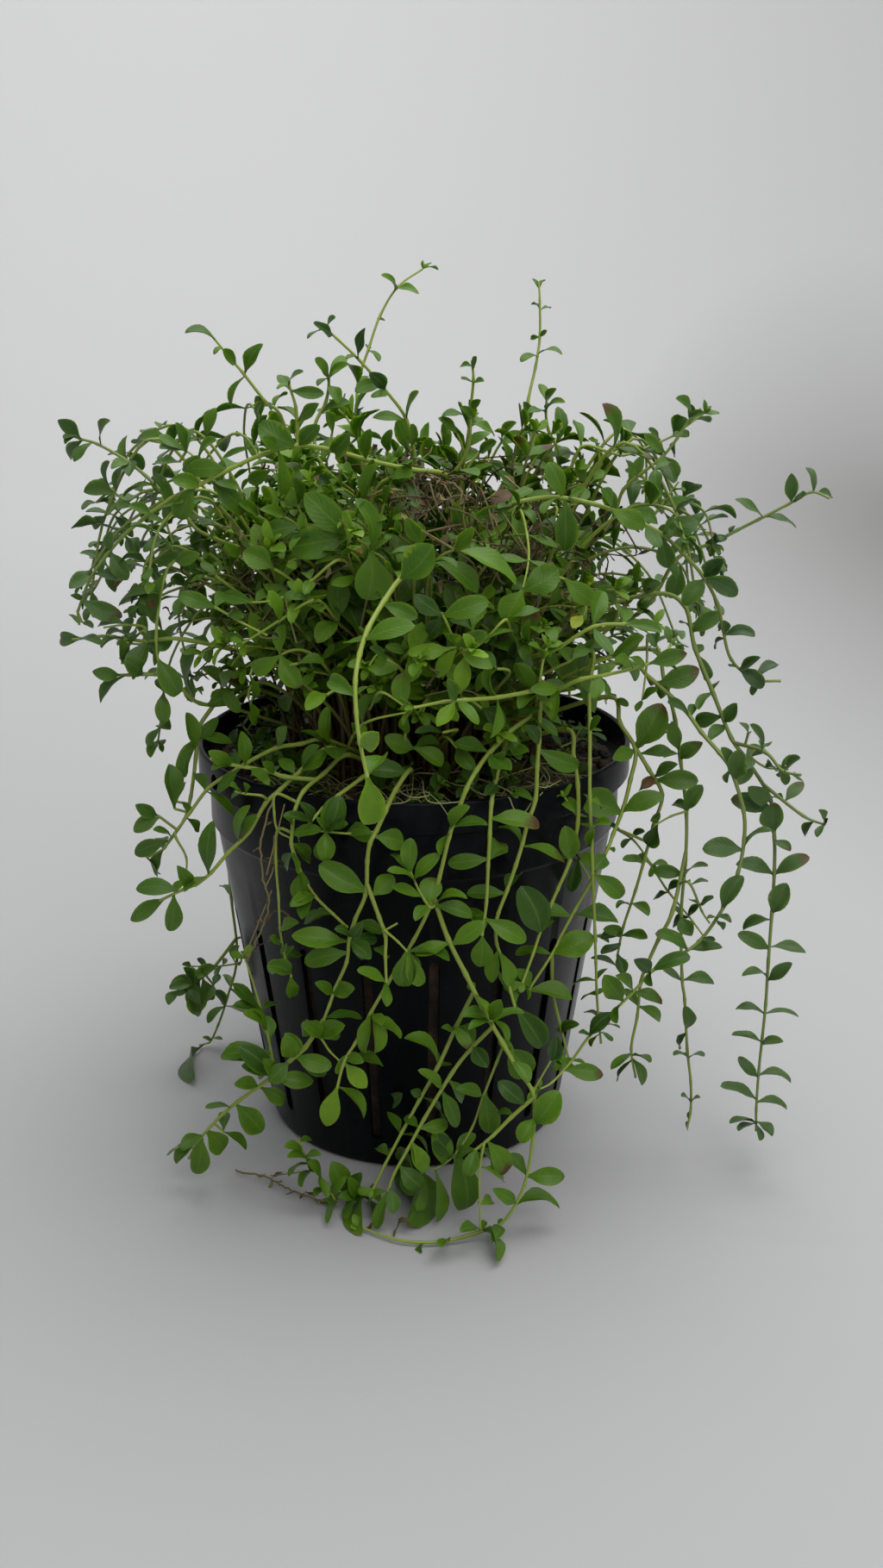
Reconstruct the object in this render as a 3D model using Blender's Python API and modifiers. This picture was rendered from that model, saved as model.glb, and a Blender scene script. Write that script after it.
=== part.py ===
"""Pearlweed in a nursery pot: a black plastic pot, its soil, the crown of short shoots and the leafy stems.

The origin is the middle of the pot's base, +Z is up, and the pot's front faces -Y. Units are metres.
"""

import math

import bmesh
import bpy
from mathutils import Matrix, Vector, noise
from mathutils.bvhtree import BVHTree

# Driving dimensions
MM = 0.001
POT_HEIGHT = 85 * MM
LIP_RADIUS = 45 * MM
LIP_BAND = 6.5 * MM
COLLAR_RADIUS = 42.8 * MM
COLLAR_BOTTOM = 68.5 * MM
BODY_TOP_RADIUS = 41.7 * MM
BASE_RADIUS = 31.8 * MM
POT_WALL = 1.1 * MM
POT_BASE = 1.5 * MM
EDGE_SOFTENING = 0.7 * MM
POT_SIDES = 36
SHOULDER_RISE = 0.8 * MM
SLOTS = 18
SLOT_WIDTH = 2.2 * MM
SLOT_BOTTOM = 7 * MM
SLOT_TOP = 50 * MM
SLOT_RIGHT_OF_FRONT = math.radians(6.4)
SLOT_CUT_OUT = 6 * MM
SLOT_CUT_DEPTH = 20 * MM
HANGING_HOLE_RADIUS = 1.6 * MM
HANGING_HOLE_HEIGHT = 81.4 * MM
HANGING_HOLE_TURN = math.radians(29)
HANGING_HOLE_CUT_DEPTH = 8 * MM
DRAIN_HOLES = 5
DRAIN_HOLE_RADIUS = 3.5 * MM
DRAIN_HOLE_CUT_DEPTH = 6 * MM
DRAIN_CIRCLE = 19 * MM
HOLE_SIDES = 8
SOIL_TOP = 81.5 * MM
SOIL_EDGE = 79.5 * MM
SOIL_SHAPE = ((20 * MM, 81.1 * MM), (34 * MM, 80.1 * MM))
SOIL_RIM_HEIGHT = 78 * MM
SOIL_SIDES = 18
SOIL_RIPPLE_HEIGHT = 0.7 * MM
SOIL_RIPPLE_SIZE = 9 * MM
STEM_RADIUS = 0.58 * MM
NODE_HALF_LENGTH = 0.6 * MM
LEAF_LENGTH = 8 * MM
LEAF_WIDTH = 4.3 * MM
LEAF_THICKNESS = 0.55 * MM
LEAF_LEAN = 0.55
LEAF_WIDEST = 0.55
LEAF_CHECK_SCALE = 1.2
LEAF_FLOOR_GAP = 0.2 * MM
GAP = 0.3 * MM
STEM_TO_CROWN_GAP = 0.7 * MM
FLOOR_CLEARANCE = 0.9 * MM
SAME_POINT = 0.01 * MM
HALVINGS = 20

# Camera that took the photograph, found from the pot's rim and base: it turns a point of the photograph
# and a depth (the world Y, in millimetres) into a place
PHOTO_CENTRE = (512.0, 909.5)
FOCAL_LENGTH_PIXELS = 2000.0
CAMERA_PLACE = Vector((5.7, -346.0, 190.0)) * MM
CAMERA_PITCH = math.radians(18.58)

# Crown outline: height above the floor and radius, both in millimetres
CROWN_OUTLINE = (
    (84, 30), (92, 40), (99, 45.5), (106, 49), (113, 50.5), (120, 50), (127, 47), (133, 42),
    (139, 34), (144, 24), (147, 12),
)
CROWN_SIDES = 28
CROWN_TOP = 148 * MM
CROWN_MIDDLE = Vector((0, 0, 112)) * MM
CROWN_LUMPS_START = 91 * MM
CROWN_LUMP_HEIGHT = 6.5 * MM
CROWN_LUMP_SIZE = 12 * MM

# Each stem: leaf size, depths in millimetres from root to tip (spread evenly over its route),
# and its route as points of the photograph, where its leaf pairs grow
STEMS = {
    "stem_right_arch": (0.9, (-27, -30, -27, -22, -18), (
        (591, 587), (620, 579), (648, 577), (690, 585), (730, 600), (765, 618), (790, 640), (815, 668),
        (832, 700), (838, 728), (848, 765), (875, 788), (905, 790))),
    "sprig_right_high": (0.75, (-4, -5, -8), (
        (740, 712), (785, 648), (827, 630), (855, 615), (879, 603), (914, 585), (941, 571), (962, 578))),
    "sprig_top_right": (0.6, (0, 0, 4), (
        (650, 560), (674, 519), (702, 523), (723, 528), (751, 519), (782, 505))),
    "sprig_top_right_tall": (0.65, (0, -3, -5), (
        (700, 612), (723, 568), (747, 547), (768, 530), (785, 509), (799, 488), (813, 474))),
    "stem_right_outer": (0.85, (-14, -26, -30, -31), (
        (748, 690), (792, 700), (806, 752), (827, 804), (848, 856), (865, 880), (893, 926), (898, 971),
        (898, 1012), (895, 1061), (891, 1116), (888, 1165), (884, 1204), (880, 1242), (877, 1287),
        (877, 1312))),
    "shoot_right_outer_upper": (0.7, (-27, -30, -34), (
        (876, 846), (888, 873), (907, 894), (929, 899))),
    "shoot_right_outer_lower": (0.6, (-30, -32, -33), (
        (900, 930), (931, 946), (957, 957))),
    "stem_right_hooked": (0.9, (-18, -33, -38, -42), (
        (722, 768), (755, 788), (792, 821), (813, 849), (834, 873), (848, 894), (862, 939), (863, 974),
        (856, 1012), (841, 1049), (813, 1090), (785, 1110), (758, 1125), (732, 1153), (687, 1198),
        (662, 1232))),
    "stem_right_long": (0.8, (-12, -22, -27, -29, -30, -31), (
        (750, 752), (771, 792), (783, 835), (789, 880), (796, 943), (795, 998), (790, 1060), (791, 1134),
        (794, 1159), (797, 1217), (801, 1255), (801, 1287), (797, 1308))),
    "stem_right_inner": (0.8, (-25.5, -25, -24, -22), (
        (742, 876), (752, 892), (768, 922), (758, 957), (747, 998), (737, 1033), (723, 1075), (716, 1109))),
    "shoot_right_forked": (0.75, (-33, -36, -34), (
        (789, 1018), (780, 1057), (764, 1089), (751, 1118), (743, 1140), (739, 1179), (732, 1217),
        (737, 1250))),
    "stem_right_near_pot": (0.75, (-22, -36, -41, -40, -38, -36, -34), (
        (682, 752), (683, 800), (684, 845), (684, 885), (684, 925), (686, 975), (688, 1030), (690, 1082),
        (691, 1116), (692, 1151), (694, 1180), (697, 1210))),
    "stem_front_right": (0.95, (-33, -40, -45, -47, -47), (
        (626, 790), (626, 820), (625, 860), (623, 889), (621, 927), (612, 954), (606, 978), (598, 1004),
        (588, 1033), (578, 1059), (575, 1075), (576, 1095), (583, 1115), (592, 1150), (597, 1168))),
    "stem_front_main": (1.0, (-35, -47, -51, -51, -50), (
        (614, 828), (590, 850), (568, 873), (553, 893), (541, 915), (529, 947), (521, 970), (509, 1020),
        (499, 1051), (480, 1090), (450, 1140), (430, 1175), (412, 1210), (398, 1235), (385, 1290))),
    "stem_front_fork": (0.95, (-53, -55, -57, -56, -57), (
        (501, 1057), (520, 1090), (540, 1130), (560, 1170), (583, 1210), (600, 1240), (617, 1265),
        (620, 1290), (617, 1330), (608, 1375), (590, 1410), (570, 1428))),
    "runner_front": (0.7, (-58, -60, -60, -55), (
        (560, 1437), (520, 1447), (485, 1447), (455, 1437), (420, 1425))),
    "stem_front_straight": (0.95, (-34, -45, -48, -48, -48), (
        (584, 856), (575, 903), (570, 931), (568, 968), (566, 1004), (564, 1047), (559, 1085))),
    "shoot_front_low": (0.8, (-50, -50, -50), (
        (541, 1158), (529, 1191), (508, 1237), (486, 1277), (467, 1312), (446, 1352), (433, 1379))),
    "shoot_front_lower": (0.8, (-52, -53, -53), (
        (571, 1203), (545, 1218), (524, 1245), (492, 1298), (473, 1333), (457, 1362), (449, 1385))),
    "stem_front_curved": (0.9, (-18, -28, -34, -40), (
        (706, 808), (719, 839), (737, 870), (731, 905), (723, 937), (711, 968), (705, 984), (689, 1016),
        (667, 1055), (651, 1085), (640, 1107), (612, 1150))),
    "stem_front_short": (0.9, (-29, -38, -40, -42, -44), (
        (657, 846), (665, 878), (670, 910), (670, 955), (661, 998), (647, 1031), (640, 1047), (628, 1077),
        (618, 1107), (606, 1140))),
    "shoot_front_side": (0.75, (-36, -36, -34), (
        (640, 1118), (641, 1150), (650, 1190), (660, 1230))),
    "shoot_front_floor": (0.85, (-57, -58, -58), (
        (608, 1283), (593, 1296), (572, 1317), (550, 1335))),
    "sprig_front_right": (0.85, (-35, -44, -38, -30), (
        (625, 808), (647, 800), (674, 788), (702, 783), (744, 773), (768, 762), (778, 748))),
    "sprig_front_across": (0.85, (-40, -53, -54), (
        (618, 802), (577, 809), (540, 812), (515, 814), (480, 821))),
    "sprig_mid_right": (0.8, (-38, -44, -38), (
        (630, 758), (650, 750), (688, 727), (723, 724), (757, 727))),
    "stem_nearest_arch": (1.15, (-44, -62, -72, -76), (
        (500, 655), (468, 668), (445, 698), (427, 729), (417, 759), (412, 790), (413, 826), (417, 859),
        (426, 902))),
    "stem_left_arch": (0.95, (-22, -31, -31, -27, -22), (
        (517, 552), (478, 545), (431, 535), (385, 522), (345, 517), (305, 527), (265, 545), (232, 562),
        (199, 578), (166, 602), (143, 622), (123, 645), (103, 675), (90, 710))),
    "sprig_left_far": (0.7, (-17, -14, -12), (
        (242, 622), (215, 598), (189, 572), (169, 552), (143, 532), (113, 515), (93, 509), (76, 502))),
    "sprig_top_left_tall": (0.65, (-5, -5, -3), (
        (352, 550), (325, 482), (308, 466), (282, 433), (265, 413), (242, 385))),
    "sprig_top_left_short": (0.8, (-13, -12, -12), (
        (352, 545), (345, 496), (343, 472), (335, 446))),
    "sprig_top_left": (0.75, (-8, -4, -4), (
        (372, 538), (365, 496), (378, 466), (381, 439), (371, 422))),
    "sprig_top_tall": (0.65, (-12, -12, -12), (
        (481, 530), (471, 486), (444, 449), (418, 419), (391, 393), (376, 380))),
    "sprig_back_left_tall": (0.55, (24, 34, 45), (
        (420, 535), (415, 492), (415, 446), (428, 403), (441, 366), (461, 333), (490, 312))),
    "sprig_top_middle": (0.6, (0, 0, 0), (
        (542, 522), (546, 474), (549, 440), (547, 418))),
    "sprig_top_right_short": (0.6, (6, 5, 5), (
        (647, 540), (636, 499), (633, 478), (635, 455))),
    "sprig_back_right_tall": (0.55, (18, 32, 36), (
        (600, 545), (612, 467), (621, 426), (626, 391), (626, 349), (625, 328))),
    "stem_left_loop": (0.85, (-10, -20, -27, -27, -25), (
        (300, 800), (265, 816), (232, 816), (212, 800), (186, 773), (181, 740), (186, 691), (194, 660))),
    "shoot_left_loop": (0.85, (-20, -23, -24), (
        (233, 822), (230, 846), (227, 880), (221, 925), (213, 952), (190, 985))),
    "stem_rim_left": (0.9, (-40, -38, -35), (
        (344, 908), (330, 901), (313, 895), (286, 890), (262, 886), (244, 880))),
    "stem_left_drooping": (0.9, (-33, -32, -31, -30), (
        (376, 858), (349, 863), (320, 868), (286, 885), (266, 898), (242, 914), (220, 943), (206, 962),
        (194, 978))),
    "stem_left_lower": (0.95, (-35, -41, -43, -43), (
        (381, 868), (350, 893), (325, 916), (308, 932), (289, 965), (265, 989), (245, 1012), (229, 1025),
        (212, 1032), (185, 1045))),
    "stem_left_wavy": (0.85, (-33, -46, -47, -46, -46), (
        (402, 876), (375, 898), (352, 918), (341, 944), (339, 966), (338, 979), (343, 996), (351, 1016),
        (366, 1040), (386, 1060), (403, 1076))),
    "stem_left_short": (0.9, (-34, -45, -48), (
        (447, 882), (419, 903), (392, 923), (374, 938), (361, 953))),
    "stem_front_left": (1.0, (-39, -47.5, -50, -50, -50, -50, -50), (
        (475, 893), (459, 916), (447, 941), (437, 963), (429, 979), (426, 999), (424, 1037), (412, 1066),
        (405, 1090), (402, 1116), (389, 1146), (382, 1166), (372, 1192))),
    "shoot_front_left": (0.8, (-52, -54, -55), (
        (427, 1040), (440, 1065), (447, 1085), (447, 1110), (448, 1140))),
    "stem_left_long": (0.95, (-50, -48.5, -46, -44, -42, -41, -40), (
        (372, 1200), (354, 1215), (337, 1230), (319, 1246), (305, 1257), (277, 1277), (259, 1292), (245, 1306),
        (230, 1324), (219, 1344))),
    "stem_back_left_hanging": (0.7, (22, 28, 26, 22), (
        (330, 760), (288, 800), (262, 880), (262, 960), (268, 1040), (275, 1110), (263, 1159), (253, 1189),
        (243, 1212), (233, 1245))),
    "shoot_back_left": (0.75, (23, 20, 16), (
        (272, 1112), (246, 1124), (225, 1140), (208, 1148))),
    "dead_stem_floor": (0.0, (-34, -40, -46), (
        (273, 1363), (309, 1366), (339, 1381), (375, 1401))),
    "dead_strand_left": (0.0, (-46, -47, -46), (
        (316, 928), (303, 975), (305, 1020), (312, 1050), (300, 1085), (286, 1115))),
    "sprig_left_middle": (0.8, (-26, -24, -22), (
        (215, 742), (172, 744), (146, 741), (119, 738), (84, 742))),
    "sprig_left_low": (0.75, (-29, -27, -25), (
        (180, 777), (165, 782), (150, 783), (125, 783))),
    "stem_back_middle": (0.8, (44, 54, 56, 56), (
        (500, 640), (505, 690), (510, 760), (506, 830), (500, 900), (496, 970))),
    "stem_back_right": (0.8, (36, 47, 48, 47), (
        (610, 650), (640, 690), (655, 760), (662, 830), (660, 900), (650, 960), (640, 1020))),
    "stem_back_left": (0.8, (36, 48, 50, 49), (
        (390, 640), (360, 690), (345, 760), (340, 830), (345, 900), (350, 970), (362, 1040))),
}

parts = bpy.data.collections.new("pearlweed")
cutters = bpy.data.collections.new("cutters")


def clear_scene():
    for leftover in list(bpy.data.objects):
        bpy.data.objects.remove(leftover, do_unlink=True)
    bpy.context.scene.collection.children.link(parts)
    bpy.context.scene.collection.children.link(cutters)
    cutters.hide_render = True


def material(name, colour, roughness, metallic=0.0):
    made = bpy.data.materials.new(name)
    made.use_nodes = True
    shader = made.node_tree.nodes["Principled BSDF"]
    shader.inputs["Base Color"].default_value = (*colour, 1.0)
    shader.inputs["Roughness"].default_value = roughness
    shader.inputs["Metallic"].default_value = metallic
    return made


def add_part(name, mesh, finish, smooth_angle=40):
    mesh.materials.append(finish)
    for face in mesh.polygons:
        face.use_smooth = True
    mesh.set_sharp_from_angle(angle=math.radians(smooth_angle))
    made = bpy.data.objects.new(name, mesh)
    parts.objects.link(made)
    return made


def turned_mesh(name, profile, sides):
    """A profile in the XZ plane, turned about Z by a Screw modifier, as a mesh."""
    flat = bpy.data.meshes.new(name)
    edges = [(index, index + 1) for index in range(len(profile) - 1)]
    flat.from_pydata([(radius, 0, height) for radius, height in profile], edges, [])
    guide = bpy.data.objects.new(name + "_profile", flat)
    bpy.context.scene.collection.objects.link(guide)
    turn = guide.modifiers.new("turn", "SCREW")
    turn.axis = "Z"
    turn.steps = sides
    turn.render_steps = sides
    turn.use_merge_vertices = True
    turn.merge_threshold = SAME_POINT
    graph = bpy.context.evaluated_depsgraph_get()
    mesh = bpy.data.meshes.new_from_object(guide.evaluated_get(graph))
    bpy.data.objects.remove(guide, do_unlink=True)
    bpy.data.meshes.remove(flat)
    return mesh


def body_radius(height):
    """Outer radius of the pot's tapering body."""
    return BASE_RADIUS + (BODY_TOP_RADIUS - BASE_RADIUS) * height / COLLAR_BOTTOM


def around(radius, turn, height):
    return Vector((radius * math.cos(turn), radius * math.sin(turn), height))


def pot_cutter():
    """The slots in the lower wall, the two hanging holes under the rim and the drain holes in the base."""
    shape = bmesh.new()
    for index in range(SLOTS):
        turn = math.radians(-90) + SLOT_RIGHT_OF_FRONT + index * math.tau / SLOTS
        middle = around(BASE_RADIUS + SLOT_CUT_OUT, turn, (SLOT_BOTTOM + SLOT_TOP) / 2)
        size = Matrix.Diagonal((SLOT_CUT_DEPTH, SLOT_WIDTH, SLOT_TOP - SLOT_BOTTOM, 1))
        place = Matrix.Translation(middle) @ Matrix.Rotation(turn, 4, "Z")
        bmesh.ops.create_cube(shape, size=1, matrix=place @ size)
    for turn in (HANGING_HOLE_TURN, HANGING_HOLE_TURN + math.pi):
        place = Matrix.Translation(around(LIP_RADIUS, turn, HANGING_HOLE_HEIGHT))
        lie_outward = Matrix.Rotation(turn, 4, "Z") @ Matrix.Rotation(math.radians(90), 4, "Y")
        bmesh.ops.create_cone(
            shape, cap_ends=True, segments=HOLE_SIDES, radius1=HANGING_HOLE_RADIUS,
            radius2=HANGING_HOLE_RADIUS, depth=HANGING_HOLE_CUT_DEPTH, matrix=place @ lie_outward,
        )
    for index in range(DRAIN_HOLES):
        place = around(DRAIN_CIRCLE, math.tau * index / DRAIN_HOLES, 0)
        bmesh.ops.create_cone(
            shape, cap_ends=True, segments=HOLE_SIDES, radius1=DRAIN_HOLE_RADIUS,
            radius2=DRAIN_HOLE_RADIUS, depth=DRAIN_HOLE_CUT_DEPTH, matrix=Matrix.Translation(place),
        )
    mesh = bpy.data.meshes.new("pot_openings")
    shape.to_mesh(mesh)
    shape.free()
    cutter = bpy.data.objects.new("pot_openings", mesh)
    cutter.hide_render = True
    cutter.display_type = "WIRE"
    cutters.objects.link(cutter)
    return cutter


def make_pot():
    step = POT_HEIGHT - LIP_BAND
    shoulder = COLLAR_BOTTOM - SHOULDER_RISE
    inside = [
        (0, POT_BASE),
        (BASE_RADIUS - POT_WALL, POT_BASE),
        (BODY_TOP_RADIUS - POT_WALL, shoulder),
        (COLLAR_RADIUS - POT_WALL, COLLAR_BOTTOM),
        (COLLAR_RADIUS - POT_WALL, step + POT_WALL),
        (LIP_RADIUS - POT_WALL, step + POT_WALL),
        (LIP_RADIUS - POT_WALL, POT_HEIGHT),
    ]
    outside = [
        (LIP_RADIUS - EDGE_SOFTENING, POT_HEIGHT),
        (LIP_RADIUS, POT_HEIGHT - EDGE_SOFTENING),
        (LIP_RADIUS, step),
        (COLLAR_RADIUS, step),
        (COLLAR_RADIUS, COLLAR_BOTTOM),
        (BODY_TOP_RADIUS, shoulder),
        (body_radius(EDGE_SOFTENING), EDGE_SOFTENING),
        (BASE_RADIUS - EDGE_SOFTENING, 0),
        (0, 0),
    ]
    plastic = material("pot_plastic", (0.012, 0.013, 0.014), 0.32)
    pot = add_part("pot", turned_mesh("pot", inside + outside, POT_SIDES), plastic)
    openings = pot.modifiers.new("openings", "BOOLEAN")
    openings.operation = "DIFFERENCE"
    openings.object = pot_cutter()


def make_soil():
    """The plug of soil, which fills the pot to just under its rim."""
    gap = POT_WALL + GAP
    profile = [
        (0, SOIL_TOP),
        *SOIL_SHAPE,
        (COLLAR_RADIUS - gap, SOIL_RIM_HEIGHT),
        (COLLAR_RADIUS - gap, COLLAR_BOTTOM + GAP),
        (BODY_TOP_RADIUS - gap, COLLAR_BOTTOM - SHOULDER_RISE),
        (BASE_RADIUS - gap, POT_BASE + GAP),
        (0, POT_BASE + GAP),
    ]
    mesh = turned_mesh("soil", profile, SOIL_SIDES)
    for vertex in mesh.vertices:
        if vertex.co.z > SOIL_EDGE:
            vertex.co.z += SOIL_RIPPLE_HEIGHT * noise.noise(vertex.co / SOIL_RIPPLE_SIZE)
    add_part("soil", mesh, material("soil", (0.025, 0.016, 0.010), 0.95))


def make_crown():
    """The dense tangle of short shoots, as one lumpy solid that reaches their tips."""
    outline = [(0, CROWN_TOP)]
    outline += [(radius * MM, height * MM) for height, radius in reversed(CROWN_OUTLINE)]
    outline += [(0, CROWN_OUTLINE[0][0] * MM)]
    mesh = turned_mesh("crown", outline, CROWN_SIDES)
    for vertex in mesh.vertices:
        if vertex.co.z > CROWN_LUMPS_START:
            lump = noise.noise(vertex.co / CROWN_LUMP_SIZE)
            vertex.co += (vertex.co - CROWN_MIDDLE).normalized() * lump * CROWN_LUMP_HEIGHT
    add_part("crown", mesh, material("crown_leaves", (0.055, 0.135, 0.022), 0.55))


def from_photo(pixel_x, pixel_y, depth):
    """The place at this depth that the photograph shows at this pixel."""
    across = (pixel_x - PHOTO_CENTRE[0]) / FOCAL_LENGTH_PIXELS
    down = (pixel_y - PHOTO_CENTRE[1]) / FOCAL_LENGTH_PIXELS
    cosine, sine = math.cos(CAMERA_PITCH), math.sin(CAMERA_PITCH)
    ray = Vector((across, cosine - down * sine, -sine - down * cosine))
    place = CAMERA_PLACE + ray * (depth - CAMERA_PLACE.y) / ray.y
    place.z = max(place.z, FLOOR_CLEARANCE)
    return place


def stem_nodes(depths, route):
    """The places of a stem's nodes, with its depth read evenly along the route."""
    places = []
    for index, (pixel_x, pixel_y) in enumerate(route):
        along = index / (len(route) - 1) * (len(depths) - 1)
        first = min(int(along), len(depths) - 2)
        depth = depths[first] + (depths[first + 1] - depths[first]) * (along - first)
        places.append(from_photo(pixel_x, pixel_y, depth * MM))
    return places


def outside_crown(places, crown):
    """The stretch of a stem from the crown's surface outward: its root end is hidden in the crown."""
    def depth_inside(place):
        surface, normal, _, _ = crown.find_nearest(place)
        return (surface - place).dot(normal)

    wanted = STEM_RADIUS + STEM_TO_CROWN_GAP
    last_inside = -1
    for index, place in enumerate(places[:-1]):
        if depth_inside(place) > -wanted:
            last_inside = index
    if last_inside < 0:
        return places
    inner, outer = places[last_inside], places[last_inside + 1]
    for _ in range(HALVINGS):
        middle = (inner + outer) / 2
        if depth_inside(middle) > -wanted:
            inner = middle
        else:
            outer = middle
    return [outer] + places[last_inside + 1:]


def stem_tube(name, points):
    """A four-sided tube along the points, as pearlweed stems are four-angled."""
    line = bpy.data.curves.new(name, "CURVE")
    line.dimensions = "3D"
    line.bevel_depth = STEM_RADIUS
    line.bevel_resolution = 0
    line.use_fill_caps = True
    spline = line.splines.new("POLY")
    spline.points.add(len(points) - 1)
    for point, place in zip(spline.points, points):
        point.co = (*place, 1)
    guide = bpy.data.objects.new(name + "_line", line)
    bpy.context.scene.collection.objects.link(guide)
    graph = bpy.context.evaluated_depsgraph_get()
    mesh = bpy.data.meshes.new_from_object(guide.evaluated_get(graph))
    bpy.data.objects.remove(guide, do_unlink=True)
    bpy.data.curves.remove(line)
    return mesh


def leaf_points(face, along, size):
    """Blade edges, keel and tip of a leaf that grows from this side face of a stem."""
    outward = face.normal.copy()
    across = outward.cross(along).normalized()
    base = face.calc_center_median()
    direction = (outward + LEAF_LEAN * along).normalized()
    keel_side = direction.cross(across).normalized()
    if keel_side.dot(along) > 0:
        keel_side.negate()
    middle = base + direction * LEAF_LENGTH * size * LEAF_WIDEST
    left = middle - across * LEAF_WIDTH * size / 2
    right = middle + across * LEAF_WIDTH * size / 2
    keel = middle + keel_side * LEAF_THICKNESS
    tip = base + direction * LEAF_LENGTH * size
    return base, across, left, right, keel, tip


def leaf_is_clear(points, neighbours):
    """Whether a leaf, a little enlarged, misses every piece made so far and the floor."""
    base, _, left, right, keel, tip = points
    corners = [base, left, right, keel, tip]
    middle = sum(corners, Vector()) / len(corners)
    corners = [middle + (corner - middle) * LEAF_CHECK_SCALE for corner in corners]
    if min(corner.z for corner in corners) < LEAF_FLOOR_GAP:
        return False
    leaf = BVHTree.FromPolygons(corners, [(0, 1, 3), (0, 3, 2), (0, 2, 1), (1, 4, 3), (3, 4, 2), (1, 2, 4)])
    return not any(leaf.overlap(neighbour) for neighbour in neighbours)


def grow_leaf(shape, face, along, size, neighbours):
    """Draws a side face of the stem out into a keeled leaf blade."""
    points = leaf_points(face, along, size)
    if not leaf_is_clear(points, neighbours):
        return
    base, across, left, right, keel, tip = points
    blade = bmesh.ops.extrude_discrete_faces(shape, faces=[face])["faces"][0]
    under = []
    for vertex in blade.verts:
        if (vertex.co - base).dot(along) < 0:
            under.append(vertex)
        elif (vertex.co - base).dot(across) < 0:
            vertex.co = left
        else:
            vertex.co = right
    bmesh.ops.pointmerge(shape, verts=under, merge_co=keel)
    poked = bmesh.ops.poke(shape, faces=[blade])
    poked["verts"][0].co = tip


def make_stem(name, finish, leaf_size, places, neighbours):
    """A stem with a pair of opposite leaves at every second node and at its tip."""
    last = len(places) - 1
    points = [places[0]]
    pairs = []
    for index in range(1, last + 1):
        along = (places[min(index + 1, last)] - places[index - 1]).normalized()
        if leaf_size and (last - index) % 2 == 0:
            points.append(places[index] - along * NODE_HALF_LENGTH)
            points.append(places[index] + along * NODE_HALF_LENGTH)
            pairs.append((places[index], along))
        else:
            points.append(places[index])
    mesh = stem_tube(name, points)
    shape = bmesh.new()
    shape.from_mesh(mesh)
    bmesh.ops.remove_doubles(shape, verts=shape.verts, dist=SAME_POINT)
    for place, along in pairs:
        shape.faces.ensure_lookup_table()
        sides = [
            face for face in shape.faces
            if (face.calc_center_median() - place).length < STEM_RADIUS and abs(face.normal.dot(along)) < 0.5
        ]
        # The two opposite side faces that look most to the left and right
        sides.sort(key=lambda face: abs(face.normal.x))
        for face in sides[-2:]:
            grow_leaf(shape, face, along, leaf_size, neighbours)
    bmesh.ops.triangulate(shape, faces=shape.faces)
    shape.to_mesh(mesh)
    shape.free()
    add_part(name, mesh, finish)


def tree_of(made):
    graph = bpy.context.evaluated_depsgraph_get()
    return BVHTree.FromObject(made, graph)


def make_stems():
    green = material("stem_leaves", (0.085, 0.205, 0.035), 0.5)
    dead = material("dead_stem", (0.19, 0.13, 0.07), 0.8)
    bpy.context.view_layer.update()
    crown = tree_of(parts.objects["crown"])
    neighbours = [tree_of(made) for made in parts.objects]
    routes = {}
    for name, (leaf_size, depths, route) in STEMS.items():
        places = outside_crown(stem_nodes(depths, route), crown)
        routes[name] = (leaf_size, places)
    tubes = {}
    for name, (_, places) in routes.items():
        mesh = stem_tube(name, places)
        corners = [vertex.co.copy() for vertex in mesh.vertices]
        tubes[name] = BVHTree.FromPolygons(corners, [tuple(face.vertices) for face in mesh.polygons])
        bpy.data.meshes.remove(mesh)
    for name, (leaf_size, places) in routes.items():
        others = neighbours + [tube for other, tube in tubes.items() if other != name]
        make_stem(name, green if leaf_size else dead, leaf_size, places, others)
        bpy.context.view_layer.update()
        neighbours.append(tree_of(parts.objects[name]))


clear_scene()
make_pot()
make_soil()
make_crown()
make_stems()
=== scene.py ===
import math
import random

import bmesh
import bpy
import numpy as np
from mathutils import Matrix, Vector, noise


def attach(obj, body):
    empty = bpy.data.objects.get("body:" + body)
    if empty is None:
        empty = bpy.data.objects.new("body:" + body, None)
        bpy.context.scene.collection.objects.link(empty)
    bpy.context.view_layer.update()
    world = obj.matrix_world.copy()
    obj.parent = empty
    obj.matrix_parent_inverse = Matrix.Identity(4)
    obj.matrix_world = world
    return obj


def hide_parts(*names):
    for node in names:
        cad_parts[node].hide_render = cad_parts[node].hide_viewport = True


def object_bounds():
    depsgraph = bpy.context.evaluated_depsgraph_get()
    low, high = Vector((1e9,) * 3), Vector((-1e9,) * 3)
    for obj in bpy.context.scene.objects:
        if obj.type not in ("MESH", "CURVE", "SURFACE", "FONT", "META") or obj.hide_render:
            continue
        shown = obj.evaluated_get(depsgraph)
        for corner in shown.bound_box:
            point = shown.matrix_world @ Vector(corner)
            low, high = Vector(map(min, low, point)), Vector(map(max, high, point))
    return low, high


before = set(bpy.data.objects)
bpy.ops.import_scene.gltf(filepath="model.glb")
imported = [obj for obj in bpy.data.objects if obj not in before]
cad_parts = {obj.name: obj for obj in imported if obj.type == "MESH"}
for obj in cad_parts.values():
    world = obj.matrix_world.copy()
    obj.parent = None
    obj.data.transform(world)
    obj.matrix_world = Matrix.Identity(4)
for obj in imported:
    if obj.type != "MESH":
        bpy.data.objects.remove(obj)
cad_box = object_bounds()

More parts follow.
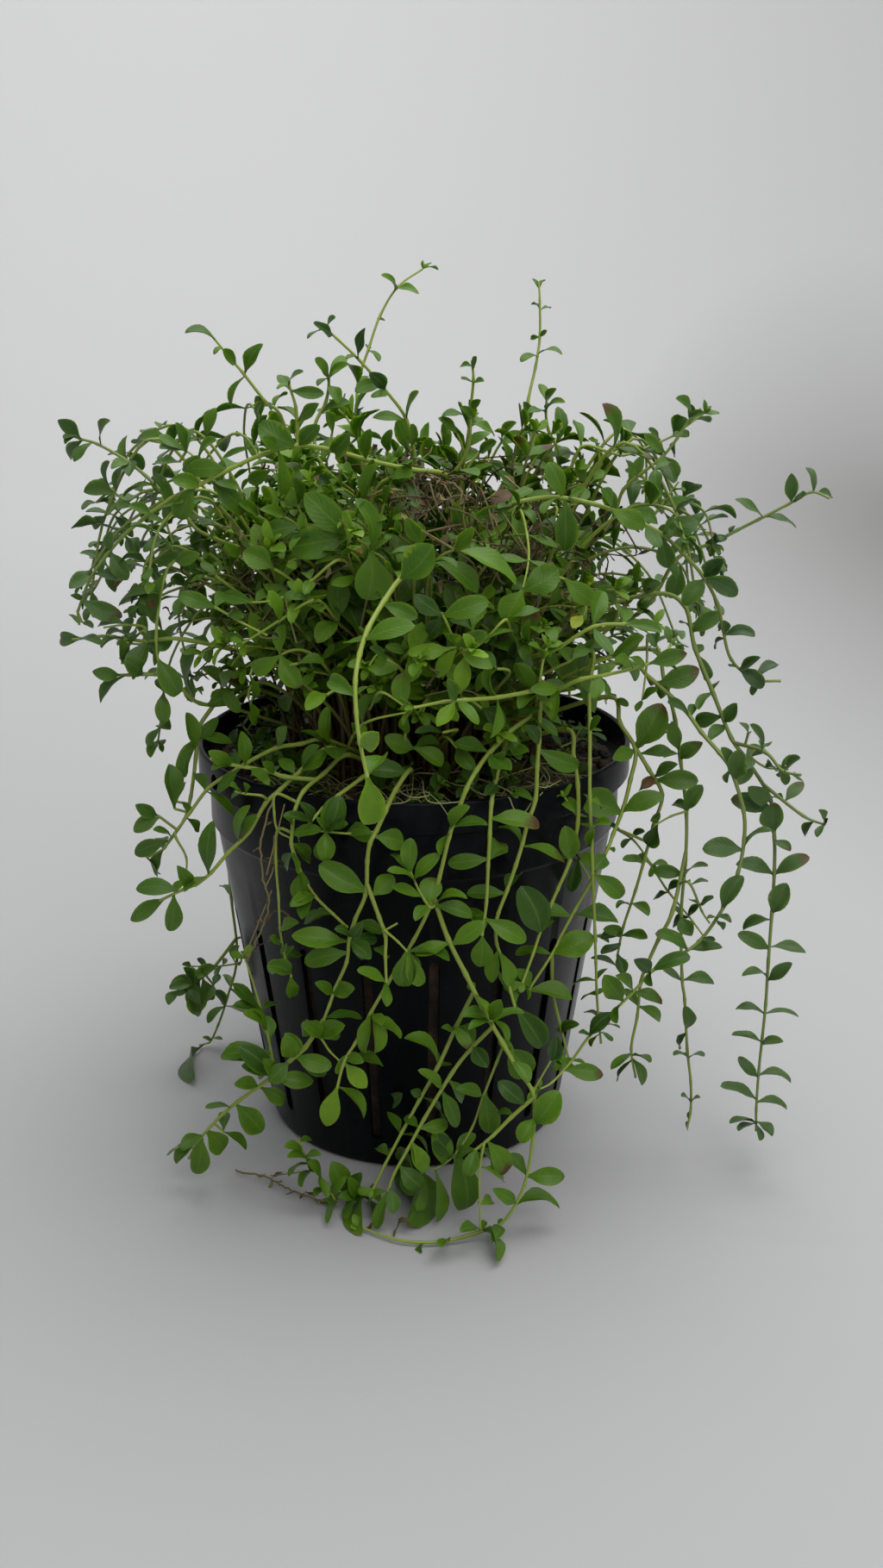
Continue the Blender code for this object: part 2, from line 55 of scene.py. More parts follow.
# Studio. A pale bowl of a floor, level under the plant and curving up far away, lit by a large soft lamp
# above, a weaker one beside the camera and two that brighten the wall. The camera stands where the
# photograph was taken.
MM = 0.001
CAMERA_PLACE = Vector((5.7, -346.0, 190.0)) * MM
CAMERA_PITCH = math.radians(18.58)
PHOTO_CENTRE = (512.0, 909.5)
PHOTO_HEIGHT = 1819
FOCAL_LENGTH_PIXELS = 2000.0
FLOOR_RADIUS = 1.0
WALL_RADIUS = 1.7
WALL_HEIGHT = 1.6
FLOOR_SIDES = 96
WALL_CURVE_STEPS = 16
PLANT_MIDDLE = (0.03, 0, 0.08)


def put_in_scene(name, data):
    made = bpy.data.objects.new(name, data)
    bpy.context.scene.collection.objects.link(made)
    return made


def turns_of(count):
    """The turns, in radians, that divide a circle into this many parts."""
    return [math.tau * index / count for index in range(count)]


def around(radius, turn, height):
    """The place at this distance and turn from the pot's axis."""
    return (radius * math.cos(turn), radius * math.sin(turn), height)


def join_rings(shape, rings):
    """Walls between rings of points, each ring with the next."""
    for first, second in zip(rings, rings[1:]):
        for index in range(len(first)):
            shape.faces.new((first[index - 1], second[index - 1], second[index], first[index]))


def mesh_of(shape, name):
    """The finished mesh of a form that was built face by face."""
    mesh = bpy.data.meshes.new(name)
    shape.to_mesh(mesh)
    shape.free()
    return mesh


class Finish:
    """A material in the making. Each step adds one node and gives back its output."""

    def __init__(self, name):
        self.material = bpy.data.materials.new(name)
        self.material.use_nodes = True
        self.tree = self.material.node_tree
        self.place = self.step("TexCoord", "Object")

    def feed(self, node, sockets):
        for socket, source in sockets.items():
            if isinstance(source, bpy.types.NodeSocket):
                self.tree.links.new(source, node.inputs[socket])
            else:
                node.inputs[socket].default_value = source

    def coat(self, sockets):
        """Feeds the surface itself, and gives back the finished material."""
        self.feed(self.tree.nodes["Principled BSDF"], sockets)
        return self.material

    def step(self, kind, output, sockets=None, **settings):
        node = self.tree.nodes.new("ShaderNode" + kind)
        for setting, value in settings.items():
            setattr(node, setting, value)
        self.feed(node, sockets or {})
        return node.outputs[output]

    def cloud(self, scale, detail, roughness=0.5, place=None):
        sockets = {"Vector": place or self.place, "Scale": scale, "Detail": detail, "Roughness": roughness}
        return self.step("TexNoise", "Fac", sockets)

    def ramp(self, source, stops):
        """Turns a value into the colours, or the grey levels, of these stops."""
        node = self.tree.nodes.new("ShaderNodeValToRGB")
        while len(node.color_ramp.elements) < len(stops):
            node.color_ramp.elements.new(0.5)
        for element, (position, colour) in zip(node.color_ramp.elements, stops.items()):
            element.position = position
            element.color = (*colour, 1) if isinstance(colour, tuple) else (colour, colour, colour, 1)
        self.feed(node, {"Fac": source})
        return node.outputs["Color"]

    def reckon(self, operation, *sources, **settings):
        return self.step("Math", "Value", dict(enumerate(sources)), operation=operation, **settings)

    def blend(self, share, first, second):
        return self.step("Mix", "Result", {"Factor": share, "A": first, "B": second}, data_type="RGBA")

    def relief(self, height, strength, distance):
        return self.step("Bump", "Normal", {"Height": height, "Strength": strength, "Distance": distance})

    def mark(self, name):
        """One of the values that each point of a grown piece carries."""
        return self.step("Attribute", "Fac", attribute_name=name)


def studio_paper():
    """Pale paper with painted shade: a greyer patch at the back right, where the wall lies in shade."""
    paper = Finish("studio_paper")
    # The greyer patch is painted shade, darkening the paper at the back right.
    shade_patch_place = {"Vector": paper.place, "Location": (-1.2, -0.75, 0), "Scale": (3.33, 1.25, 1.25)}
    spot = paper.step("Mapping", "Vector", shade_patch_place)
    soft = paper.step("TexGradient", "Fac", {"Vector": spot}, gradient_type="SPHERICAL")
    paper_with_painted_shade = paper.blend(soft, (0.45, 0.45, 0.45, 1), (0.12, 0.12, 0.11, 1))
    return paper.coat({"Base Color": paper_with_painted_shade, "Roughness": 0.75})


def studio_bowl():
    rise = WALL_RADIUS - FLOOR_RADIUS
    profile = [(1 * MM, 0.0), (0.3, 0.0), (FLOOR_RADIUS, 0.0)]
    for step in range(1, WALL_CURVE_STEPS + 1):
        angle = math.radians(90) * step / WALL_CURVE_STEPS
        profile.append((FLOOR_RADIUS + rise * math.sin(angle), rise * (1 - math.cos(angle))))
    profile.append((WALL_RADIUS, WALL_HEIGHT))
    shape = bmesh.new()
    rings = []
    for radius, height in profile:
        rings.append([shape.verts.new(around(radius, turn, height)) for turn in turns_of(FLOOR_SIDES)])
    join_rings(shape, rings)
    mesh = mesh_of(shape, "studio_floor")
    mesh.shade_smooth()
    mesh.materials.append(studio_paper())
    put_in_scene("studio_floor", mesh)


def soft_lamp(name, place, aim, size, power):
    light = bpy.data.lights.new(name, "AREA")
    light.shape = "DISK"
    light.size = size
    light.energy = power
    lamp = put_in_scene(name, light)
    lamp.location = place
    lamp.rotation_euler = (Vector(aim) - Vector(place)).to_track_quat("-Z", "Y").to_euler()


eye = bpy.data.cameras.new("photo_camera")
eye.sensor_width = 36.0
eye.lens = eye.sensor_width * FOCAL_LENGTH_PIXELS / PHOTO_HEIGHT
eye.clip_start = 0.01
camera = put_in_scene("photo_camera", eye)
camera.location = CAMERA_PLACE
camera.rotation_euler = (math.radians(90) - CAMERA_PITCH, 0, 0)
bpy.context.scene.camera = camera
bpy.context.scene.view_settings.view_transform = "Standard"
studio_bowl()
soft_lamp("lamp_above", (0.22, 0.12, 1.1), PLANT_MIDDLE, 1.3, 11.5)
soft_lamp("lamp_beside_camera", (0.3, -0.9, 0.8), PLANT_MIDDLE, 0.8, 4.5)
soft_lamp("lamp_on_wall_left", (-0.5, 0.8, 0.9), (-0.35, 1.6, 0.2), 0.5, 2)
soft_lamp("lamp_on_wall", (-0.1, 0.9, 1.2), (-0.1, 1.65, 0.45), 0.6, 9.5)
room = bpy.data.worlds.new("studio_room")
room.use_nodes = True
room.node_tree.nodes["Background"].inputs["Color"].default_value = (0.93, 0.95, 1.0, 1)
room.node_tree.nodes["Background"].inputs["Strength"].default_value = 0.30
bpy.context.scene.world = room

# Pot. A thin black nursery pot, moulded in one piece: a flat lip band, a collar, a tapering body with
# tall drainage slots, two small hanging holes and drain holes. Dust and dried water mark its satin skin.
POT_HEIGHT = 85 * MM
LIP_RADIUS = 45 * MM
LIP_BAND = 6.5 * MM
COLLAR_RADIUS = 42.8 * MM
COLLAR_BOTTOM = 68.5 * MM
BODY_TOP_RADIUS = 41.7 * MM
BASE_RADIUS = 31.8 * MM
POT_WALL = 1.1 * MM
POT_BASE = 1.5 * MM
POT_SIDES = 144
LIP_ROUND = 0.5 * MM
LIP_ROUND_STEPS = 6
SLOTS = 18
FIRST_SLOT_TURN = math.radians(-90 + 6.4)
SLOT_HALF_WIDTH = 1.1 * MM
SLOT_BOTTOM = 7 * MM
SLOT_TOP = 50 * MM
HANGING_HOLE_TURNS = (math.radians(29), math.radians(209))
HANGING_HOLE_HEIGHT = 81.4 * MM
HANGING_HOLE_RADIUS = 1.6 * MM
DRAIN_HOLES = 5
DRAIN_RING_RADIUS = 19 * MM
DRAIN_HOLE_RADIUS = 3.5 * MM


def pot_plastic():
    """Black plastic with cloudy gloss, faint upright streaks and dried specks."""
    plastic = Finish("pot_plastic")
    cloud = plastic.cloud(38, 5, 0.6)
    drawn_out = plastic.step("Mapping", "Vector", {"Vector": plastic.place, "Scale": (1, 1, 0.12)})
    streak = plastic.cloud(300, 3, place=drawn_out)
    speck_sockets = {"Vector": plastic.place, "Scale": 330, "Randomness": 1}
    speck = plastic.step("TexVoronoi", "Distance", speck_sockets)
    speck_here = plastic.ramp(cloud, {0.6: 0, 0.66: 1})
    specks = plastic.reckon("MULTIPLY", plastic.ramp(speck, {0.05: 1, 0.12: 0}), speck_here)
    dust = plastic.reckon("ADD", plastic.ramp(streak, {0.45: 0, 0.8: 0.03}), specks, use_clamp=True)
    return plastic.coat({
        "Base Color": plastic.blend(dust, (0.0040, 0.0045, 0.0058, 1), (0.10, 0.11, 0.11, 1)),
        "Roughness": plastic.ramp(cloud, {0.3: 0.22, 0.75: 0.38}),
        "Normal": plastic.relief(cloud, 0.12, 0.0004),
        "Specular IOR Level": 0.085,
    })


def pot_profile():
    """The pot's section from the middle of its inside base, over the lip, to the middle underneath."""
    step = POT_HEIGHT - LIP_BAND
    shoulder = COLLAR_BOTTOM - 1.0 * MM
    inner_base = BASE_RADIUS - POT_WALL
    profile = [(0, POT_BASE), (inner_base - 1 * MM, POT_BASE), (inner_base, POT_BASE + 1 * MM)]
    profile += [(BODY_TOP_RADIUS - POT_WALL, shoulder), (COLLAR_RADIUS - POT_WALL, COLLAR_BOTTOM)]
    profile += [(COLLAR_RADIUS - POT_WALL, step + 0.6 * MM), (LIP_RADIUS - POT_WALL, step + POT_WALL)]
    lip_middle = LIP_RADIUS - POT_WALL / 2
    for step_over in range(LIP_ROUND_STEPS + 1):
        angle = math.pi * (1 - step_over / LIP_ROUND_STEPS)
        height = POT_HEIGHT - LIP_ROUND * (1 - math.sin(angle))
        profile.append((lip_middle + POT_WALL / 2 * math.cos(angle), height))
    profile += [(LIP_RADIUS, step + 0.3 * MM), (LIP_RADIUS - 0.3 * MM, step)]
    profile += [(COLLAR_RADIUS + 0.3 * MM, step), (COLLAR_RADIUS, step - 0.4 * MM)]
    profile += [(COLLAR_RADIUS, COLLAR_BOTTOM + 0.4 * MM)]
    profile += [(COLLAR_RADIUS - 0.4 * MM, COLLAR_BOTTOM - 0.2 * MM), (BODY_TOP_RADIUS, shoulder)]
    profile += [(BASE_RADIUS + 0.2 * MM, 2 * MM), (BASE_RADIUS - 0.3 * MM, 0.6 * MM)]
    profile += [(BASE_RADIUS - 1.2 * MM, 0), (0, 0)]
    return profile


def turned(name, profile, sides):
    """A profile turned about the pot's axis, as a mesh."""
    flat = bpy.data.meshes.new(name)
    edges = [(index, index + 1) for index in range(len(profile) - 1)]
    flat.from_pydata([(radius, 0, height) for radius, height in profile], edges, [])
    guide = put_in_scene(name, flat)
    turn = guide.modifiers.new("turn", "SCREW")
    turn.steps = sides
    turn.render_steps = sides
    turn.use_merge_vertices = True
    turn.merge_threshold = 0.00001
    graph = bpy.context.evaluated_depsgraph_get()
    mesh = bpy.data.meshes.new_from_object(guide.evaluated_get(graph))
    bpy.data.objects.remove(guide, do_unlink=True)
    return mesh


def plug(shape, place, radius, depth, sides=24):
    """A straight round plug, to cut a hole with."""
    return bmesh.ops.create_cone(
        shape, cap_ends=True, segments=sides, radius1=radius, radius2=radius, depth=depth, matrix=place)


def pot_openings():
    """Round-ended slots, hanging holes and drain holes, as one cutting mesh."""
    shape = bmesh.new()
    to_radial = Matrix.Rotation(math.radians(90), 4, "Y")
    for index in range(SLOTS):
        turned_to = Matrix.Rotation(FIRST_SLOT_TURN + index * math.tau / SLOTS, 4, "Z")
        place = turned_to @ Matrix.Translation((BASE_RADIUS + 6 * MM, 0, SLOT_BOTTOM + SLOT_HALF_WIDTH))
        made = plug(shape, place @ to_radial, SLOT_HALF_WIDTH, 22 * MM, 16)
        for vertex in made["verts"]:
            if vertex.co.z > SLOT_BOTTOM + SLOT_HALF_WIDTH:
                vertex.co.z += SLOT_TOP - SLOT_BOTTOM - 2 * SLOT_HALF_WIDTH
    for turn in HANGING_HOLE_TURNS:
        place = Matrix.Rotation(turn, 4, "Z") @ Matrix.Translation((LIP_RADIUS, 0, HANGING_HOLE_HEIGHT))
        plug(shape, place @ to_radial, HANGING_HOLE_RADIUS, 8 * MM)
    for turn in turns_of(DRAIN_HOLES):
        place = Matrix.Rotation(turn, 4, "Z") @ Matrix.Translation((DRAIN_RING_RADIUS, 0, 0))
        plug(shape, place, DRAIN_HOLE_RADIUS, 6 * MM)
    return mesh_of(shape, "pot_openings")


def make_pot():
    pot = put_in_scene("nursery_pot", turned("nursery_pot", pot_profile(), POT_SIDES))
    cutter = put_in_scene("pot_openings", pot_openings())
    cut = pot.modifiers.new("openings", "BOOLEAN")
    cut.operation = "DIFFERENCE"
    cut.object = cutter
    graph = bpy.context.evaluated_depsgraph_get()
    pot.data = bpy.data.meshes.new_from_object(pot.evaluated_get(graph))
    pot.modifiers.clear()
    bpy.data.objects.remove(cutter, do_unlink=True)
    pot.data.materials.clear()
    pot.data.materials.append(pot_plastic())
    pot.data.shade_smooth()
    pot.data.set_sharp_from_angle(angle=math.radians(35))
    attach(pot, "root")
    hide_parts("pot")


make_pot()

# Soil. Dark peat that fills the pot to just under its rim, with a loose crumbly top. Its side shows
# brown through the slots. It was pressed into the pot as one plug, and crumbs lie loose on it.
SOIL_TOP = 81.0 * MM
SOIL_EDGE = 79.6 * MM
SOIL_GAP = POT_WALL + 0.3 * MM
SOIL_RADIUS = COLLAR_RADIUS - SOIL_GAP
SOIL_BOTTOM = POT_BASE + 0.4 * MM
SOIL_SIDES = 120
SOIL_RINGS = 44
SOIL_LEVELS = 24
SOIL_ROUGHNESS = 0.35 * MM
CRUMBS = 1500
CRUMB_SIZES = (0.35, 1.15)


def peat():
    earth = Finish("peat")
    fine = earth.cloud(1300, 4, 0.7)
    brown = earth.ramp(earth.cloud(110, 6, 0.65), {
        0.30: (0.008, 0.006, 0.004), 0.50: (0.030, 0.019, 0.011), 0.62: (0.075, 0.040, 0.020),
        0.74: (0.150, 0.075, 0.035),
    })
    damp = earth.ramp(fine, {0.35: 0.72, 0.65: 0.98})
    return earth.coat({"Base Color": brown, "Roughness": damp, "Normal": earth.relief(fine, 0.8, 0.0006)})


def soil_height(x, y):
    """Height of the soil's lumpy top at this place."""
    reach = math.hypot(x, y) / (COLLAR_RADIUS - POT_WALL)
    height = SOIL_TOP - (SOIL_TOP - SOIL_EDGE) * reach ** 2
    spot = Vector((x, y, 0.0))
    lumps = 1.1 * MM * noise.noise(spot / (8 * MM))
    return height + (lumps + 0.6 * MM * noise.noise(spot / (2.6 * MM) + Vector((7, 3, 1))))


def soil_plug(shape):
    """The lumpy top as rings of points, then the rough side down to the base, closed at both ends."""
    turns = turns_of(SOIL_SIDES)
    loops = []
    for ring in range(1, SOIL_RINGS + 1):
        places = [around(SOIL_RADIUS * ring / SOIL_RINGS, turn, 0) for turn in turns]
        loops.append([shape.verts.new((x, y, soil_height(x, y))) for x, y, _ in places])
    body_top = COLLAR_BOTTOM - 1 * MM
    levels = [(SOIL_RADIUS, 76 * MM), (SOIL_RADIUS, COLLAR_BOTTOM + 0.4 * MM)]
    for step in range(SOIL_LEVELS + 1):
        share = step / SOIL_LEVELS
        radius = (BODY_TOP_RADIUS - SOIL_GAP) * (1 - share) + (BASE_RADIUS - SOIL_GAP) * share
        levels.append((radius, body_top * (1 - share) + SOIL_BOTTOM * share))
    for radius, height in levels:
        loop = []
        for turn in turns:
            spot = Vector(around(radius, turn, height))
            sunk = radius - SOIL_ROUGHNESS * (1 + noise.noise(spot / (3 * MM)))
            loop.append(shape.verts.new(around(sunk, turn, height)))
        loops.append(loop)
    top = shape.verts.new((0, 0, soil_height(0, 0)))
    base = shape.verts.new((0, 0, SOIL_BOTTOM))
    for side in range(SOIL_SIDES):
        shape.faces.new((top, loops[0][side - 1], loops[0][side]))
        shape.faces.new((base, loops[-1][side], loops[-1][side - 1]))
    join_rings(shape, loops)


def soil_crumbs(shape):
    chance = random.Random(11)
    for _ in range(CRUMBS):
        turn = chance.uniform(0, math.tau)
        radius = (SOIL_RADIUS - 1.2 * MM) * math.sqrt(chance.random())
        x, y, _ = around(radius, turn, 0)
        size = chance.uniform(*CRUMB_SIZES) * MM
        widths = (chance.uniform(0.6, 1.3), chance.uniform(0.6, 1.3), chance.uniform(0.5, 1), 1)
        lie = Matrix.Rotation(chance.uniform(0, math.tau), 4, (chance.random(), chance.random(), 1))
        place = Matrix.Translation((x, y, soil_height(x, y) + size * 0.3))
        formed = place @ lie @ Matrix.Diagonal(widths)
        bmesh.ops.create_icosphere(shape, subdivisions=1, radius=size, matrix=formed)


def make_soil():
    shape = bmesh.new()
    soil_plug(shape)
    soil_crumbs(shape)
    mesh = mesh_of(shape, "peat_soil")
    mesh.materials.append(peat())
    mesh.shade_smooth()
    soil = put_in_scene("peat_soil", mesh)
    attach(soil, "root")
    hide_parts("soil")


make_soil()

# Long stems. Thin pale green stems that arch out of the mound, hang over the rim and lie on the floor, with
# pairs of small leaves at their joints. Each grew with its leaves as one piece. A route is a list of points
# of the photograph, with depths in millimetres spread evenly from root to tip, after the stem's thickness.
STEM_RADIUS = 0.48 * MM
LEAF_LENGTH = 7.4 * MM
LEAF_WIDTH = 0.46
# The row of a stem that forks off another one ends with the other's name
STEMS = {
    "stem_right_arch": (0.9, (-27, -30, -27, -22, -18), (
        (591, 587), (620, 579), (648, 577), (690, 585), (730, 600), (765, 618), (790, 640), (815, 668),
        (832, 700), (838, 728), (848, 765), (875, 788), (905, 790))),
    "sprig_right_high": (0.75, (-4, -5, -8), (
        (740, 712), (785, 648), (827, 630), (855, 615), (879, 603), (914, 585), (941, 571), (962, 578))),
    "sprig_top_right": (0.6, (0, 0, 4), (
        (650, 560), (674, 519), (702, 523), (723, 528), (751, 519), (782, 505))),
    "sprig_top_right_tall": (0.65, (0, -3, -5), (
        (700, 612), (723, 568), (747, 547), (768, 530), (785, 509), (799, 488), (813, 474))),
    "stem_right_outer": (0.85, (-14, -26, -30, -31), (
        (748, 690), (792, 700), (806, 752), (827, 804), (848, 856), (865, 880), (893, 926), (898, 971),
        (898, 1012), (895, 1061), (891, 1116), (888, 1165), (884, 1204), (880, 1242), (877, 1287),
        (877, 1312))),
    "shoot_right_outer_upper": (0.7, (-27, -30, -34), (
        (876, 846), (888, 873), (907, 894), (929, 899)), "stem_right_outer"),
    "shoot_right_outer_lower": (0.6, (-30, -32, -33), (
        (900, 930), (931, 946), (957, 957)), "stem_right_outer"),
    "stem_right_hooked": (0.9, (-18, -33, -38, -42), (
        (722, 768), (755, 788), (792, 821), (813, 849), (834, 873), (848, 894), (862, 939), (863, 974),
        (856, 1012), (841, 1049), (813, 1090), (785, 1110), (758, 1125), (732, 1153), (687, 1198),
        (662, 1232))),
    "stem_right_long": (0.8, (-12, -22, -27, -29, -30, -31), (
        (750, 752), (771, 792), (783, 835), (789, 880), (796, 943), (795, 998), (790, 1060), (791, 1134),
        (794, 1159), (797, 1217), (801, 1255), (801, 1287), (797, 1308))),
    "stem_right_inner": (0.8, (-25.5, -25, -24, -22), (
        (742, 876), (752, 892), (768, 922), (758, 957), (747, 998), (737, 1033), (723, 1075), (716, 1109)),
        "stem_front_curved"),
    "shoot_right_forked": (0.75, (-33, -36, -34), (
        (789, 1018), (780, 1057), (764, 1089), (751, 1118), (743, 1140), (739, 1179), (732, 1217),
        (737, 1250)), "stem_right_long"),
    "stem_right_near_pot": (0.75, (-22, -36, -41, -40, -38, -36, -34), (
        (682, 752), (683, 800), (684, 845), (684, 885), (684, 925), (686, 975), (688, 1030), (690, 1082),
        (691, 1116), (692, 1151), (694, 1180), (697, 1210))),
    "stem_front_right": (0.95, (-33, -40, -45, -47, -47), (
        (626, 790), (626, 820), (625, 860), (623, 889), (621, 927), (612, 954), (606, 978), (598, 1004),
        (588, 1033), (578, 1059), (575, 1075), (576, 1095), (583, 1115), (592, 1150), (597, 1168))),
    "stem_front_main": (1.0, (-35, -47, -51, -51, -50), (
        (614, 828), (590, 850), (568, 873), (553, 893), (541, 915), (529, 947), (521, 970), (509, 1020),
        (499, 1051), (480, 1090), (450, 1140), (430, 1175), (412, 1210), (398, 1235), (385, 1290))),
    "stem_front_fork": (0.95, (-53, -55, -57, -56, -57), (
        (501, 1057), (520, 1090), (540, 1130), (560, 1170), (583, 1210), (600, 1240), (617, 1265),
        (620, 1290), (617, 1330), (608, 1375), (590, 1410), (570, 1428)), "stem_front_main"),
    "runner_front": (0.7, (-58, -60, -60, -55), (
        (560, 1437), (520, 1447), (485, 1447), (455, 1437), (420, 1425)), "stem_front_fork"),
    "stem_front_straight": (0.95, (-34, -45, -48, -48, -48), (
        (584, 856), (575, 903), (570, 931), (568, 968), (566, 1004), (564, 1047), (559, 1085))),
    "shoot_front_low": (0.8, (-50, -50, -50), (
        (541, 1158), (529, 1191), (508, 1237), (486, 1277), (467, 1312), (446, 1352), (433, 1379)),
        "stem_front_fork"),
    "shoot_front_lower": (0.8, (-52, -53, -53), (
        (571, 1203), (545, 1218), (524, 1245), (492, 1298), (473, 1333), (457, 1362), (449, 1385)),
        "stem_front_fork"),
    "stem_front_curved": (0.9, (-18, -28, -34, -40), (
        (706, 808), (719, 839), (737, 870), (731, 905), (723, 937), (711, 968), (705, 984), (689, 1016),
        (667, 1055), (651, 1085), (640, 1107), (612, 1150))),
    "stem_front_short": (0.9, (-29, -38, -40, -42, -44), (
        (657, 846), (665, 878), (670, 910), (670, 955), (661, 998), (647, 1031), (640, 1047), (628, 1077),
        (618, 1107), (606, 1140))),
    "shoot_front_side": (0.75, (-36, -36, -34), (
        (640, 1118), (641, 1150), (650, 1190), (660, 1230)), "stem_front_curved"),
    "shoot_front_floor": (0.85, (-57, -58, -58), (
        (608, 1283), (593, 1296), (572, 1317), (550, 1335)), "stem_front_fork"),
    "sprig_front_right": (0.85, (-35, -44, -38, -30), (
        (625, 808), (647, 800), (674, 788), (702, 783), (744, 773), (768, 762), (778, 748))),
    "sprig_front_across": (0.85, (-40, -53, -54), (
        (618, 802), (577, 809), (540, 812), (515, 814), (480, 821))),
    "sprig_mid_right": (0.8, (-38, -44, -38), (
        (630, 758), (650, 750), (688, 727), (723, 724), (757, 727))),
    "stem_nearest_arch": (1.15, (-44, -62, -72, -76), (
        (500, 655), (468, 668), (445, 698), (427, 729), (417, 759), (412, 790), (413, 826), (417, 859),
        (426, 902))),
    "stem_left_arch": (0.95, (-22, -31, -31, -27, -22), (
        (517, 552), (478, 545), (431, 535), (385, 522), (345, 517), (305, 527), (265, 545), (232, 562),
        (199, 578), (166, 602), (143, 622), (123, 645), (103, 675), (90, 710))),
    "sprig_left_far": (0.7, (-17, -14, -12), (
        (242, 622), (215, 598), (189, 572), (169, 552), (143, 532), (113, 515), (93, 509), (76, 502))),
    "sprig_top_left_tall": (0.65, (-5, -5, -3), (
        (352, 550), (325, 482), (308, 466), (282, 433), (265, 413), (242, 385))),
    "sprig_top_left_short": (0.8, (-13, -12, -12), (
        (352, 545), (345, 496), (343, 472), (335, 446))),
    "sprig_top_left": (0.75, (-8, -4, -4), (
        (372, 538), (365, 496), (378, 466), (381, 439), (371, 422))),
    "sprig_top_tall": (0.65, (-12, -12, -12), (
        (481, 530), (471, 486), (444, 449), (418, 419), (391, 393), (376, 380))),
    "sprig_back_left_tall": (0.55, (24, 34, 45), (
        (420, 535), (415, 492), (415, 446), (428, 403), (441, 366), (461, 333), (490, 312))),
    "sprig_top_middle": (0.6, (0, 0, 0), (
        (542, 522), (546, 474), (549, 440), (547, 418))),
    "sprig_top_right_short": (0.6, (6, 5, 5), (
        (647, 540), (636, 499), (633, 478), (635, 455))),
    "sprig_back_right_tall": (0.55, (18, 32, 36), (
        (600, 545), (612, 467), (621, 426), (626, 391), (626, 349), (625, 328))),
    "stem_left_loop": (0.85, (-10, -20, -27, -27, -25), (
        (300, 800), (265, 816), (232, 816), (212, 800), (186, 773), (181, 740), (186, 691), (194, 660))),
    "shoot_left_loop": (0.85, (-20, -23, -24), (
        (233, 822), (230, 846), (227, 880), (221, 925), (213, 952), (190, 985)), "stem_left_loop"),
    "stem_rim_left": (0.9, (-40, -38, -35), (
        (344, 908), (330, 901), (313, 895), (286, 890), (262, 886), (244, 880)), "stem_left_wavy"),
    "stem_left_drooping": (0.9, (-33, -32, -31, -30), (
        (376, 858), (349, 863), (320, 868), (286, 885), (266, 898), (242, 914), (220, 943), (206, 962),
        (194, 978))),
    "stem_left_lower": (0.95, (-35, -41, -43, -43), (
        (381, 868), (350, 893), (325, 916), (308, 932), (289, 965), (265, 989), (245, 1012), (229, 1025),
        (212, 1032), (185, 1045))),
    "stem_left_wavy": (0.85, (-33, -46, -47, -46, -46), (
        (402, 876), (375, 898), (352, 918), (341, 944), (339, 966), (338, 979), (343, 996), (351, 1016),
        (366, 1040), (386, 1060), (403, 1076))),
    "stem_left_short": (0.9, (-34, -45, -48), (
        (447, 882), (419, 903), (392, 923), (374, 938), (361, 953))),
    "stem_front_left": (1.0, (-39, -47.5, -50, -50, -50, -50, -50), (
        (475, 893), (459, 916), (447, 941), (437, 963), (429, 979), (426, 999), (424, 1037), (412, 1066),
        (405, 1090), (402, 1116), (389, 1146), (382, 1166), (372, 1192))),
    "shoot_front_left": (0.8, (-52, -54, -55), (
        (427, 1040), (440, 1065), (447, 1085), (447, 1110), (448, 1140)), "stem_front_left"),
    "stem_left_long": (0.95, (-50, -48.5, -46, -44, -42, -41, -40), (
        (372, 1200), (354, 1215), (337, 1230), (319, 1246), (305, 1257), (277, 1277), (259, 1292),
        (245, 1306), (230, 1324), (219, 1344)), "stem_front_left"),
    "stem_back_left_hanging": (0.7, (22, 28, 26, 22), (
        (330, 760), (288, 800), (262, 880), (262, 960), (268, 1040), (275, 1110), (263, 1159), (253, 1189),
        (243, 1212), (233, 1245))),
    "shoot_back_left": (0.75, (23, 20, 16), (
        (272, 1112), (246, 1124), (225, 1140), (208, 1148)), "stem_back_left_hanging"),
    "sprig_left_middle": (0.8, (-26, -24, -22), (
        (215, 742), (172, 744), (146, 741), (119, 738), (84, 742))),
    "sprig_left_low": (0.75, (-29, -27, -25), (
        (180, 777), (165, 782), (150, 783), (125, 783)), "stem_left_loop"),
    "stem_back_middle": (0.8, (44, 54, 56, 56), (
        (500, 640), (505, 690), (510, 760), (506, 830), (500, 900), (496, 970))),
    "stem_back_right": (0.8, (36, 47, 48, 47), (
        (610, 650), (640, 690), (655, 760), (662, 830), (660, 900), (650, 960), (640, 1020))),
    "stem_back_left": (0.8, (36, 48, 50, 49), (
        (390, 640), (360, 690), (345, 760), (340, 830), (345, 900), (350, 970), (362, 1040))),
}
# Outline of a blade: share of the length, share of the full width. A narrow stalk, widest past the middle
FINE_BLADE = (
    (0, 0.13), (0.07, 0.15), (0.16, 0.3), (0.28, 0.62), (0.42, 0.9), (0.54, 1), (0.66, 0.96), (0.78, 0.81),
    (0.88, 0.57), (0.95, 0.33), (1, 0),
)
SIMPLE_BLADE = ((0, 0.16), (0.14, 0.28), (0.34, 0.8), (0.55, 1), (0.75, 0.84), (0.91, 0.46), (1, 0))
BLADE_HALF_THICKNESS = 0.1 * MM
# How leaves vary: a power on the outline's widths, one side's extra width, the tip's bend out of the blade's
# plane, and then the arch along the blade, the sideways sweep, the fold at the midrib and the edge's wave
PLUMPNESS = (0.72, 1.15)
LOPSIDED = (-0.16, 0.16)
HOOK = (-0.1, 0.06)
ARCH = (-0.03, 0.16)
SWEEP = (-0.08, 0.08)
FOLD = (0.12, 0.6)
WAVE = (0, 0.2)
